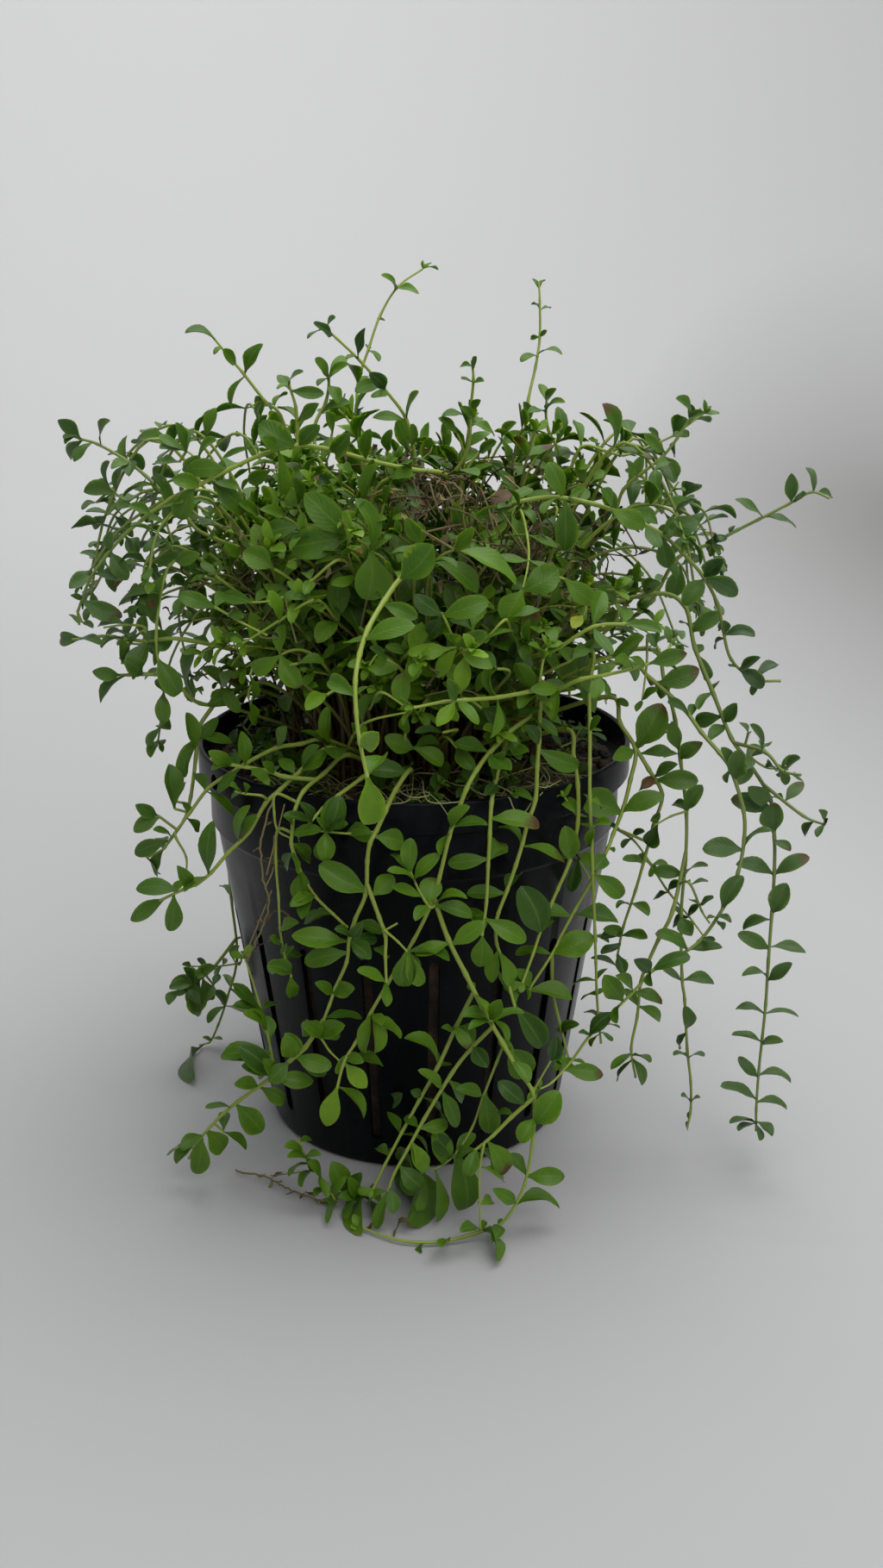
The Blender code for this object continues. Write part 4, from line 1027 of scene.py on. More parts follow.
# Leaves as traced on the photograph: stalk end, tip, width as a percentage of the length, and a finish where
# it isn't plain green: 1 young and bright, 2 browned tip, 3 deep green, 4 yellow, 5 withered. Each grew from
# the nearest stem, or from a short shoot of the mound where none passes.
LEAVES = (
    # far left
    (91, 508, 66, 487, 50), (92, 511, 80, 533, 50), (100, 523, 85, 534, 40), (88, 511, 73, 509, 25),
    (87, 513, 75, 514, 25), (113, 517, 128, 488, 18), (143, 534, 147, 505, 35), (140, 539, 129, 544, 40),
    (141, 541, 133, 568, 12), (172, 562, 143, 577, 12), (177, 563, 186, 541, 12), (180, 568, 178, 588, 20),
    (127, 557, 111, 557, 60), (122, 555, 126, 535, 20), (125, 572, 97, 570, 50), (125, 597, 109, 611, 60),
    (112, 583, 95, 590, 30), (150, 588, 135, 590, 50), (172, 600, 152, 586, 50), (125, 641, 128, 618, 60),
    (127, 645, 148, 673, 55), (106, 670, 140, 673, 35, 3), (103, 671, 80, 683, 50), (97, 698, 83, 690, 60),
    (96, 702, 142, 716, 45, 2), (95, 722, 108, 728, 60), (92, 725, 80, 713, 40), (88, 735, 70, 740, 70),
    (88, 738, 117, 747, 35), (145, 725, 113, 727, 35), (147, 722, 159, 704, 12), (150, 747, 124, 736, 12),
    (167, 731, 143, 770, 12), (168, 732, 200, 745, 70), (140, 770, 138, 741, 35), (160, 776, 143, 765, 80),
    (173, 770, 154, 788, 25), (136, 784, 106, 779, 50), (143, 782, 114, 814, 15), (170, 750, 180, 772, 15),
    (197, 655, 178, 724, 28), (180, 681, 136, 700, 15), (183, 770, 207, 806, 55), (190, 803, 190, 839, 50),
    (231, 815, 231, 750, 12), (214, 517, 185, 505, 30), (213, 519, 207, 491, 30), (214, 519, 222, 494, 35),
    (215, 522, 184, 522, 28), (208, 536, 178, 538, 22), (230, 527, 252, 511, 15), (212, 545, 232, 530, 80),
    (262, 548, 215, 545, 45), (228, 570, 200, 556, 60), (203, 588, 187, 556, 40), (228, 578, 207, 603, 60),
    (213, 603, 238, 628, 50), (198, 608, 173, 601, 40), (200, 630, 166, 638, 35), (203, 650, 232, 642, 60),
    (251, 566, 284, 596, 45, 2), (250, 560, 277, 568, 45),
    # left of the mound
    (247, 703, 207, 690, 45), (290, 699, 259, 690, 50), (264, 700, 282, 716, 60), (252, 742, 222, 744, 40),
    (258, 735, 284, 748, 45), (250, 748, 243, 770, 60), (257, 797, 234, 774, 45), (255, 795, 275, 780, 50),
    (267, 797, 278, 826, 45), (290, 784, 293, 815, 45), (288, 810, 300, 841, 35), (325, 760, 291, 775, 55),
    (330, 760, 347, 798, 55, 2), (345, 770, 376, 766, 40), (322, 724, 312, 686, 35),
    (335, 756, 328, 724, 40), (245, 813, 270, 800, 50), (299, 598, 275, 584, 50), (330, 600, 303, 590, 45),
    (277, 645, 259, 632, 60), (250, 668, 234, 652, 50), (318, 530, 330, 580, 25), (314, 545, 288, 558, 60),
    (345, 585, 340, 555, 40), (365, 545, 395, 585, 45, 3), (430, 565, 435, 532, 40),
    (450, 555, 480, 553, 45), (445, 585, 455, 565, 50),
    # middle of the mound
    (407, 622, 354, 572, 48), (405, 632, 334, 634, 52), (318, 660, 282, 640, 70), (350, 612, 304, 622, 48),
    (430, 640, 414, 578, 30), (424, 585, 438, 538, 30), (442, 648, 425, 697, 75), (490, 632, 470, 602, 50),
    (465, 668, 503, 632, 70), (505, 652, 553, 688, 38), (434, 741, 482, 726, 38), (452, 698, 484, 717, 45),
    (522, 752, 473, 755, 42, 1), (532, 763, 504, 786, 40, 1), (533, 765, 537, 800, 50, 1),
    (515, 703, 566, 697, 48), (513, 705, 480, 690, 50, 3), (605, 682, 585, 720, 80),
    (548, 731, 563, 706, 60), (543, 731, 523, 718, 40), (540, 750, 564, 733, 55),
    (512, 712, 497, 737, 60, 3), (576, 776, 558, 755, 45), (577, 777, 551, 801, 40),
    (583, 741, 593, 787, 15), (600, 722, 627, 709, 20), (566, 746, 596, 731, 12), (615, 680, 648, 660, 70),
    (655, 672, 690, 700, 52), (677, 714, 663, 730, 72, 4), (640, 757, 664, 768, 60, 2),
    (663, 766, 682, 752, 60), (641, 797, 615, 800, 50), (641, 800, 643, 836, 40, 2),
    (625, 806, 601, 822, 50), (474, 820, 466, 780, 55, 2), (532, 812, 517, 787, 55),
    (534, 812, 555, 840, 40), (530, 822, 507, 844, 45, 1), (533, 824, 527, 836, 80, 1),
    (559, 822, 585, 843, 60, 3), (606, 862, 590, 822, 35), (622, 858, 610, 842, 60, 3),
    (592, 872, 612, 870, 40), (480, 868, 510, 862, 40), (482, 870, 514, 887, 50), (474, 862, 445, 855, 60),
    (470, 850, 472, 828, 60), (465, 888, 428, 893, 50, 3), (425, 858, 441, 848, 80, 1),
    (530, 868, 551, 893, 55), (513, 850, 481, 850, 35, 3), (448, 765, 427, 752, 50, 3),
    (379, 806, 356, 822, 60, 1), (404, 800, 380, 788, 55), (389, 850, 380, 820, 40),
    (392, 857, 364, 849, 40), (392, 858, 385, 873, 70), (353, 895, 381, 868, 35), (397, 856, 407, 838, 50),
    (593, 597, 552, 600, 50), (598, 570, 570, 585, 50, 5), (527, 638, 550, 612, 50),
    (575, 645, 595, 628, 50), (540, 642, 598, 680, 18), (590, 608, 611, 636, 40), (714, 700, 692, 684, 50),
    # right of the mound
    (582, 512, 600, 490, 40), (556, 525, 575, 512, 50), (650, 577, 636, 536, 50), (650, 580, 655, 640, 45),
    (645, 598, 632, 625, 50, 3), (655, 577, 680, 568, 30), (645, 580, 630, 594, 15),
    (683, 562, 663, 545, 45), (680, 563, 690, 550, 40), (712, 593, 697, 568, 45), (712, 590, 748, 612, 50),
    (757, 603, 749, 588, 50), (773, 620, 810, 605, 55), (797, 640, 799, 618, 80), (772, 622, 775, 660, 55),
    (752, 618, 766, 636, 50), (840, 622, 826, 630, 60, 3), (842, 621, 852, 610, 40, 3),
    (880, 600, 851, 580, 30), (882, 604, 924, 612, 13), (822, 672, 838, 650, 70, 3),
    (818, 676, 793, 701, 60), (823, 673, 856, 690, 50, 3), (800, 730, 837, 712, 50),
    (843, 740, 838, 720, 50, 3), (845, 742, 876, 738, 40, 3), (845, 745, 828, 752, 25, 3),
    (815, 750, 824, 789, 42), (860, 778, 880, 762, 50, 3), (865, 775, 885, 798, 50, 3),
    (880, 795, 902, 772, 45, 3), (882, 800, 872, 806, 50, 3), (858, 775, 844, 772, 50, 3),
    (835, 828, 806, 836, 60), (815, 800, 810, 824, 45), (843, 830, 855, 815, 60),
    (797, 827, 773, 815, 35, 3), (760, 783, 811, 776, 50, 2), (758, 772, 797, 758, 45, 2),
    (737, 862, 768, 816, 62, 2), (740, 778, 712, 765, 45), (710, 762, 748, 739, 30),
    (702, 790, 688, 812, 60), (712, 808, 728, 818, 60),
    # over the rim, from left to right
    (219, 862, 214, 826, 35), (228, 857, 253, 833, 40), (238, 848, 269, 861, 30), (225, 850, 214, 902, 35),
    (202, 938, 196, 886, 38), (205, 930, 215, 908, 40), (183, 946, 158, 934, 60), (186, 948, 155, 965, 50),
    (196, 974, 177, 963, 35), (197, 981, 155, 990, 45), (193, 985, 183, 1017, 35),
    (170, 995, 181, 1013, 15, 3), (213, 950, 230, 964, 45), (211, 947, 212, 930, 50),
    (265, 887, 243, 872, 60), (262, 888, 246, 892, 40), (280, 884, 280, 848, 40), (319, 868, 333, 843, 50),
    (347, 898, 325, 878, 55), (353, 890, 370, 865, 35), (314, 890, 303, 884, 60), (283, 897, 312, 908, 50),
    (275, 898, 254, 920, 30), (237, 921, 272, 946, 22), (277, 918, 265, 912, 40), (276, 920, 267, 927, 40),
    (280, 917, 283, 908, 40), (277, 966, 288, 934, 22), (281, 968, 298, 944, 25),
    (262, 985, 278, 975, 50, 3), (243, 1007, 244, 953, 28), (240, 1018, 214, 1036, 30),
    (216, 1030, 207, 1006, 60), (205, 1040, 157, 1030, 42), (191, 1050, 152, 1068, 40),
    (198, 1045, 197, 1080, 45), (345, 955, 327, 946, 40), (350, 952, 347, 925, 50),
    (345, 965, 372, 962, 45), (383, 962, 390, 924, 60), (380, 965, 369, 948, 40), (385, 965, 402, 955, 40),
    (435, 965, 404, 966, 55), (384, 970, 378, 998, 60), (423, 905, 428, 958, 55, 1),
    (419, 1038, 371, 1003, 50), (430, 1037, 456, 1016, 65), (436, 968, 468, 980, 70),
    (340, 978, 358, 999, 45), (343, 992, 333, 1010, 45), (347, 1020, 349, 1048, 40),
    (366, 1048, 337, 1052, 50), (385, 1063, 355, 1072, 40), (399, 1098, 338, 1084, 40),
    (402, 1103, 353, 1117, 45), (402, 1095, 430, 1112, 60, 3), (409, 1075, 443, 1083, 42),
    (476, 1008, 476, 972, 48), (474, 1005, 453, 990, 30), (482, 1025, 449, 1010, 20),
    (487, 1038, 455, 1028, 35), (487, 1022, 510, 991, 40), (498, 1052, 503, 1017, 75, 2),
    (495, 1055, 482, 1066, 60), (505, 1048, 549, 1062, 40), (510, 1042, 541, 1041, 20),
    (572, 900, 589, 872, 35, 2), (571, 900, 562, 922, 75, 3), (571, 946, 626, 959, 38, 2),
    (567, 1001, 580, 976, 90, 2), (563, 1001, 519, 1001, 42), (561, 1058, 549, 1061, 40),
    (568, 1060, 611, 1091, 42), (523, 1092, 562, 1070, 45), (559, 1090, 556, 1121, 65),
    (629, 864, 672, 888, 45), (620, 927, 588, 917, 28), (604, 977, 578, 957, 12),
    (610, 978, 654, 1003, 25, 2), (587, 1033, 541, 1036, 40), (575, 1100, 592, 1145, 30),
    (572, 1098, 570, 1140, 40), (625, 1076, 604, 1028, 60, 3), (529, 957, 541, 936, 40),
    (529, 958, 566, 957, 25), (520, 960, 509, 990, 25), (717, 936, 670, 927, 65), (706, 981, 714, 985, 70),
    (700, 983, 688, 1010, 85), (693, 1017, 722, 1040, 50), (662, 1058, 621, 1058, 38),
    (672, 1060, 718, 1069, 35), (640, 1103, 597, 1108, 28), (642, 1102, 688, 1085, 60),
    (668, 945, 652, 928, 60), (663, 995, 655, 957, 55), (675, 985, 688, 963, 60), (686, 965, 708, 955, 35),
    (668, 997, 662, 1035, 50, 3), (616, 1145, 597, 1125, 50), (497, 1122, 533, 1150, 50),
    (520, 1091, 481, 1107, 40), (478, 1112, 522, 1114, 30), (472, 1109, 467, 1145, 55),
    (447, 1137, 413, 1126, 38), (476, 1112, 492, 1143, 45), (475, 1112, 480, 1140, 20),
    (447, 1110, 435, 1098, 60), (448, 1142, 449, 1167, 45), (612, 1150, 663, 1160, 35),
    (728, 938, 769, 922, 45), (743, 866, 779, 869, 38), (737, 868, 712, 880, 70),
    (750, 900, 745, 914, 70, 5),
    # in front of the pot and on the floor, left
    (386, 1149, 367, 1140, 60), (388, 1150, 411, 1147, 80), (370, 1130, 352, 1150, 50, 3),
    (373, 1185, 398, 1195, 90), (376, 1180, 420, 1182, 25), (371, 1195, 348, 1193, 80),
    (342, 1237, 385, 1237, 50), (340, 1228, 330, 1199, 70), (322, 1260, 364, 1253, 42),
    (322, 1250, 305, 1228, 70), (282, 1230, 258, 1223, 50), (305, 1247, 277, 1214, 50, 3),
    (298, 1270, 270, 1258, 55), (303, 1273, 332, 1278, 50), (278, 1292, 306, 1314, 60),
    (258, 1285, 238, 1286, 25), (259, 1313, 286, 1333, 30), (240, 1320, 260, 1335, 80),
    (232, 1320, 210, 1333, 50), (230, 1330, 204, 1350, 40), (232, 1322, 226, 1364, 45),
    (212, 1333, 193, 1340, 10), (325, 1135, 311, 1120, 70), (332, 1122, 338, 1096, 60),
    (338, 1133, 343, 1157, 55), (237, 1231, 231, 1254, 40), (247, 1203, 235, 1203, 50),
    (249, 1202, 258, 1206, 25), (264, 1163, 308, 1188, 25), (272, 1143, 300, 1163, 35),
    (271, 1143, 258, 1131, 45), (235, 1135, 198, 1143, 45), (240, 1140, 205, 1155, 40),
    (240, 1140, 225, 1180, 40), (245, 1135, 248, 1160, 50), (275, 1115, 275, 1098, 30),
    (391, 1262, 379, 1305, 45, 1), (393, 1266, 424, 1297, 30, 1), (399, 1236, 425, 1262, 50, 1),
    (402, 1228, 421, 1232, 70), (408, 1240, 445, 1238, 20), (430, 1180, 420, 1222, 25, 1),
    (431, 1180, 436, 1222, 30, 1), (435, 1190, 464, 1206, 25, 1), (432, 1185, 443, 1190, 60, 1),
    (505, 1232, 470, 1203, 20), (488, 1278, 475, 1265, 70, 3), (452, 1285, 467, 1268, 60, 3),
    (450, 1345, 436, 1330, 60), (473, 1330, 495, 1358, 50), (470, 1350, 480, 1388, 50, 3),
    (500, 1368, 510, 1419, 30), (448, 1385, 437, 1426, 45), (452, 1382, 456, 1408, 50),
    (420, 1392, 414, 1429, 35), (423, 1390, 405, 1366, 50), (405, 1378, 388, 1352, 45),
    (378, 1368, 358, 1348, 45),
    # in front of the pot and on the floor, middle
    (566, 1183, 536, 1178, 35), (568, 1188, 544, 1191, 25), (571, 1180, 608, 1175, 25),
    (528, 1198, 512, 1192, 50), (527, 1193, 544, 1216, 45, 2), (548, 1217, 566, 1239, 60, 3),
    (511, 1256, 487, 1241, 35), (520, 1250, 534, 1278, 40), (519, 1262, 533, 1308, 35),
    (558, 1276, 528, 1264, 48), (490, 1279, 512, 1298, 15), (492, 1305, 519, 1301, 50),
    (522, 1345, 500, 1316, 55, 3), (470, 1315, 497, 1337, 12), (476, 1328, 494, 1360, 40, 1),
    (533, 1350, 541, 1405, 45), (530, 1350, 552, 1316, 45), (556, 1350, 586, 1370, 35),
    (570, 1322, 587, 1364, 50, 2), (611, 1360, 592, 1338, 40), (614, 1361, 655, 1365, 50, 2),
    (598, 1390, 571, 1379, 48), (600, 1397, 650, 1398, 25), (580, 1420, 570, 1440, 80),
    (568, 1438, 574, 1464, 30), (555, 1427, 534, 1429, 50), (557, 1395, 571, 1392, 90, 1),
    (528, 1442, 511, 1449, 50), (488, 1443, 487, 1459, 80), (597, 1206, 615, 1247, 75),
    (600, 1180, 629, 1215, 45, 3), (575, 1210, 594, 1224, 60), (588, 1228, 612, 1258, 42),
    (612, 1280, 578, 1255, 50, 3), (568, 1278, 567, 1314, 50), (600, 1292, 578, 1290, 50),
    (617, 1302, 603, 1325, 60), (620, 1306, 648, 1266, 65), (641, 1232, 645, 1203, 60, 3),
    (655, 1203, 669, 1188, 60, 3), (663, 1240, 700, 1247, 45, 2), (548, 1150, 565, 1172, 30),
    (572, 1172, 582, 1158, 60),
    # hanging at the right
    (874, 1298, 856, 1314, 35), (875, 1300, 882, 1322, 35), (877, 1298, 895, 1319, 40),
    (872, 1297, 846, 1302, 12), (876, 1272, 834, 1262, 22), (880, 1275, 912, 1289, 18),
    (878, 1245, 856, 1226, 40), (883, 1243, 918, 1254, 25), (884, 1206, 849, 1199, 10),
    (887, 1206, 907, 1207, 45), (886, 1173, 853, 1169, 25), (889, 1172, 927, 1176, 13),
    (888, 1131, 862, 1129, 18), (892, 1133, 918, 1117, 45), (890, 1096, 856, 1083, 42),
    (894, 1095, 935, 1105, 32), (892, 1062, 860, 1077, 42), (898, 1056, 912, 1025, 60),
    (893, 1010, 853, 1003, 35), (900, 1010, 938, 993, 40, 2), (900, 970, 917, 988, 50, 2),
    (897, 963, 898, 930, 75, 2), (903, 930, 932, 908, 50, 2), (885, 925, 866, 912, 60),
    (864, 981, 897, 965, 18), (940, 953, 933, 970, 50), (951, 953, 951, 940, 25), (950, 958, 947, 970, 50),
    (957, 957, 960, 949, 40), (790, 878, 814, 862, 60, 2), (848, 900, 858, 868, 65),
    (845, 880, 837, 868, 50), (846, 889, 843, 908, 30), (884, 935, 847, 927, 45, 2),
    (861, 983, 814, 985, 52), (842, 1052, 862, 1016, 45), (838, 1062, 820, 1066, 40),
    (838, 1058, 848, 1072, 50, 2), (835, 1065, 838, 1080, 40), (800, 1098, 758, 1084, 35, 2),
    (806, 1103, 838, 1100, 33), (763, 1125, 801, 1110, 40), (765, 1128, 755, 1143, 50),
    (755, 1121, 733, 1112, 60, 3), (795, 1132, 828, 1142, 35), (717, 1124, 687, 1109, 25, 3),
    (718, 1150, 700, 1130, 60), (735, 1148, 718, 1132, 40), (738, 1150, 769, 1163, 35, 2),
    (731, 1168, 714, 1186, 40), (742, 1172, 768, 1183, 45), (732, 1225, 708, 1238, 35),
    (733, 1230, 744, 1258, 35), (734, 1228, 754, 1232, 12), (731, 1235, 718, 1253, 12),
    (685, 1200, 710, 1175, 45, 3), (690, 1198, 672, 1197, 30, 3), (694, 1183, 677, 1172, 40, 3),
    (700, 1200, 719, 1192, 15), (700, 1205, 685, 1213, 15), (701, 1203, 710, 1208, 30),
    (690, 1160, 673, 1158, 15), (688, 1143, 662, 1140, 12), (740, 1005, 721, 998, 40),
    (798, 1010, 757, 1010, 45), (800, 1012, 820, 1003, 15), (800, 1018, 820, 1022, 30),
    (770, 907, 810, 906, 48), (800, 938, 815, 910, 52), (760, 958, 750, 978, 80, 3),
    (763, 894, 785, 886, 40), (768, 850, 783, 842, 60, 5), (838, 838, 822, 858, 55),
    (797, 830, 803, 817, 70), (788, 873, 769, 880, 35), (785, 868, 779, 836, 45), (768, 912, 741, 916, 45),
    (745, 812, 763, 800, 45), (745, 812, 738, 826, 60), (750, 770, 734, 762, 50), (684, 800, 672, 786, 55),
    (684, 845, 696, 832, 50), (684, 885, 673, 896, 45, 3), (685, 925, 697, 938, 45),
    (731, 1054, 715, 1052, 15), (734, 1055, 752, 1060, 40), (718, 1088, 700, 1078, 60),
    (722, 1091, 752, 1090, 38), (795, 1062, 802, 1085, 70), (812, 1053, 829, 1042, 50),
    (795, 1190, 795, 1170, 65), (796, 1195, 788, 1215, 50), (799, 1223, 780, 1226, 10),
    (800, 1223, 817, 1226, 10), (799, 1275, 789, 1273, 10), (800, 1275, 812, 1273, 10),
    (798, 1295, 797, 1311, 30), (888, 882, 902, 899, 15), (905, 895, 930, 880, 35),
    (912, 897, 932, 905, 30), (880, 868, 872, 840, 30), (868, 850, 858, 838, 40),
    (774, 1033, 758, 1042, 45, 3), (774, 1033, 790, 1024, 45, 3), (798, 1062, 781, 1076, 50, 3),
    (798, 1062, 812, 1050, 45, 3), (816, 1086, 830, 1092, 40, 3), (816, 1086, 812, 1102, 45, 3),
    (735, 975, 722, 985, 45, 3), (735, 975, 747, 964, 45, 3), (716, 962, 703, 956, 45, 3),
    (716, 1085, 697, 1090, 50, 3), (712, 1100, 697, 1108, 45, 3), (716, 1109, 722, 1132, 50, 3),
    (550, 1335, 529, 1345, 45), (550, 1335, 541, 1364, 50), (552, 1334, 568, 1351, 45),
    # on the floor and behind the pot, left
    (346, 1345, 330, 1330, 50), (354, 1350, 372, 1340, 50), (365, 1362, 350, 1378, 40),
    (385, 1385, 400, 1365, 50), (392, 1400, 380, 1420, 40), (392, 1405, 372, 1398, 35),
    (381, 1379, 365, 1388, 45), (346, 1330, 362, 1322, 50), (225, 1140, 212, 1122, 50),
    (215, 1145, 232, 1165, 40), (230, 1138, 250, 1120, 40), (208, 1148, 195, 1165, 45),
    (300, 1190, 285, 1175, 40), (326, 1085, 345, 1070, 50), (328, 1100, 312, 1088, 45),
    (262, 1165, 248, 1150, 45), (268, 1040, 255, 1028, 40), (265, 1000, 278, 1015, 45),
    (405, 1378, 385, 1348, 60), (398, 1388, 420, 1360, 55), (420, 1396, 394, 1388, 50),
    (409, 1397, 400, 1414, 45), (396, 1385, 384, 1404, 40), (421, 1393, 433, 1410, 30),
    (448, 1388, 427, 1396, 30), (455, 1397, 482, 1406, 14), (463, 1404, 476, 1419, 14),
    (482, 1352, 481, 1391, 60, 3), (468, 1360, 490, 1378, 60, 3), (512, 1352, 506, 1312, 55),
    (365, 1366, 354, 1344, 50), (370, 1370, 378, 1390, 35), (358, 1352, 332, 1344, 35),
    (360, 1358, 334, 1364, 15), (225, 1140, 196, 1147, 45), (240, 1138, 221, 1167, 55),
    (236, 1143, 228, 1174, 60), (246, 1124, 229, 1137, 60), (222, 1121, 211, 1119, 60, 2),
    (248, 1143, 238, 1162, 60), (250, 1160, 240, 1186, 40), (222, 1121, 224, 1141, 50),
    (262, 1121, 248, 1134, 45), (242, 1121, 228, 1112, 50), (302, 1222, 257, 1224, 35),
    (304, 1247, 281, 1236, 45), (316, 1200, 306, 1178, 50), (304, 1168, 270, 1140, 25, 3),
    (308, 1190, 270, 1166, 25, 3), (310, 1225, 296, 1250, 50),
    # standing at the top, from left to right
    (250, 402, 248, 411, 50), (271, 420, 256, 405, 60), (283, 430, 303, 398, 35), (281, 434, 267, 472, 12),
    (243, 393, 214, 388, 12), (303, 463, 300, 488, 30), (303, 463, 315, 475, 30, 3),
    (341, 458, 324, 436, 55), (331, 441, 321, 450, 30), (340, 440, 352, 431, 15), (343, 457, 376, 457, 40),
    (347, 484, 369, 468, 45), (341, 482, 321, 475, 12), (320, 476, 333, 457, 15), (345, 498, 358, 482, 40),
    (381, 438, 366, 416, 50), (382, 436, 399, 414, 50), (387, 449, 403, 421, 20), (373, 437, 368, 446, 35),
    (381, 450, 393, 468, 60), (383, 478, 407, 467, 25), (385, 503, 376, 478, 40), (352, 513, 370, 494, 60),
    (387, 526, 405, 503, 75), (349, 513, 300, 492, 65), (322, 523, 302, 508, 60),
    (384, 385, 362, 375, 50, 3), (379, 376, 389, 368, 20), (365, 384, 357, 392, 15),
    (414, 412, 425, 380, 25, 3), (413, 416, 401, 417, 15), (444, 450, 430, 434, 70, 3),
    (445, 453, 431, 459, 50), (468, 485, 432, 484, 25), (471, 484, 487, 454, 18), (432, 530, 428, 500, 50),
    (450, 525, 455, 498, 45), (470, 520, 476, 492, 40), (458, 332, 444, 318, 15), (464, 334, 485, 338, 30),
    (441, 368, 446, 372, 50), (430, 403, 440, 418, 30), (430, 448, 411, 455, 50), (550, 420, 533, 425, 45),
    (550, 425, 553, 413, 40), (548, 440, 534, 440, 30), (549, 442, 562, 443, 40), (549, 468, 558, 464, 70),
    (547, 482, 535, 472, 50), (545, 482, 513, 480, 12), (530, 503, 508, 485, 35), (549, 487, 575, 505, 30),
    (625, 333, 618, 323, 40), (626, 333, 632, 325, 40), (625, 356, 616, 353, 15), (627, 356, 638, 358, 15),
    (623, 386, 616, 392, 60), (625, 386, 634, 383, 60), (622, 409, 604, 419, 35), (624, 408, 652, 411, 12),
    (633, 462, 627, 446, 50), (634, 463, 645, 451, 50), (631, 483, 612, 478, 15), (634, 482, 657, 469, 12),
    (638, 508, 649, 503, 30), (637, 508, 629, 512, 60), (610, 490, 607, 466, 40), (607, 487, 618, 514, 35),
    (600, 492, 583, 513, 50), (797, 487, 784, 462, 30), (800, 490, 817, 479, 45), (766, 527, 747, 504, 40),
    (766, 510, 750, 498, 30), (768, 535, 786, 557, 40), (778, 512, 782, 530, 40), (752, 563, 738, 558, 40),
    (737, 556, 733, 546, 50), (692, 512, 683, 509, 40), (722, 528, 723, 517, 50), (728, 565, 727, 533, 35),
    (775, 573, 766, 571, 60), (782, 567, 794, 570, 15), (772, 577, 791, 582, 50), (776, 585, 808, 587, 12),
    (764, 583, 752, 565, 18), (914, 584, 918, 549, 50, 2), (939, 570, 934, 543, 25),
    (915, 583, 936, 572, 40), (942, 573, 966, 577, 35),
    # front left, beside the long stem
    (356, 956, 347, 931, 45, 3), (354, 956, 328, 947, 35, 3), (355, 961, 344, 975, 45, 3),
    (385, 961, 394, 924, 50, 3), (383, 961, 370, 948, 40, 3), (385, 961, 402, 954, 40, 3),
    (404, 967, 434, 965, 55), (383, 971, 377, 999, 60), (340, 984, 358, 1000, 45),
    (337, 996, 345, 1014, 35), (344, 1017, 352, 1046, 25), (364, 1048, 336, 1050, 30),
    (364, 1050, 350, 1067, 45), (377, 1059, 360, 1071, 35), (402, 1090, 421, 1070, 65, 3),
    (404, 1092, 438, 1088, 50, 3), (405, 1094, 425, 1112, 55, 3), (402, 1092, 388, 1078, 50, 3),
    (337, 1109, 333, 1094, 60, 3), (323, 1122, 309, 1126, 60), (329, 1119, 350, 1109, 50, 3),
    (372, 1203, 350, 1186, 65), (372, 1203, 398, 1190, 75), (339, 1226, 331, 1199, 65),
    (341, 1230, 379, 1246, 45, 3), (330, 1232, 312, 1256, 60),
)
PLAIN, YOUNG, BROWN_TIP, DEEP, YELLOW, WITHERED = range(6)
LEAF_TONE = {PLAIN: 0.5, YOUNG: 0.76, BROWN_TIP: 0.5, DEEP: 0.16, YELLOW: 0.97, WITHERED: 0.4}
# A leaf belongs to a stem seen within this many pixels of its stalk, and to a tip of the mound within these
SEEN_WITHIN = 13
SAME_TIP_WITHIN = 15
STALK_RADIUS = 0.26 * MM
STALK_SIDES = 6
DEEP_INSIDE = 9 * MM
SAME_JOINT = 3 * MM
SHORTEST_LEAF = 6.4 * MM
BARE_STRETCH = 6 * MM
MOUND_BOTTOM = 92 * MM
FLOOR_LEAF_HEIGHT = 1.2 * MM
SHOOT_STEPS = 17
# A traced leaf may be longer than it looks: it then leans away from the camera or toward it
LEAN_FORWARD_SHARE = 0.35
LEAST_WIDTH = 0.43
TRACED_ARCH = (-0.06, 0.06)
TRACED_FOLD = (0.12, 0.58)
TRACED_WAVE = (0, 0.26)


def dense_paths():
    """Every stem's and twig's path as close points: place, direction, pixel and owner."""
    places, tangents, owners = [], [], []
    for path, owner in grown_paths:
        steps = np.arange(0, len(path) - 1 + 1e-6, 0.1)
        close = np.stack([np.interp(steps, range(len(path)), path[:, axis]) for axis in range(3)], axis=1)
        places.append(close)
        tangents.append(np.gradient(close, axis=0))
        owners += [owner] * len(close)
    places = np.concatenate(places)
    return places, np.concatenate(tangents), to_photo(places), owners


def traced_tip(pixel_x, pixel_y, depth):
    """Where a traced tip is: at its base's depth, or on the floor where it is seen, if that is nearer."""
    ray = from_photo(pixel_x, pixel_y, depth - 40 * MM) - CAMERA_POINT
    on_floor = CAMERA_POINT + ray * (FLOOR_LEAF_HEIGHT - CAMERA_POINT[2]) / ray[2]
    return on_floor if on_floor[1] < depth else from_photo(pixel_x, pixel_y, depth)


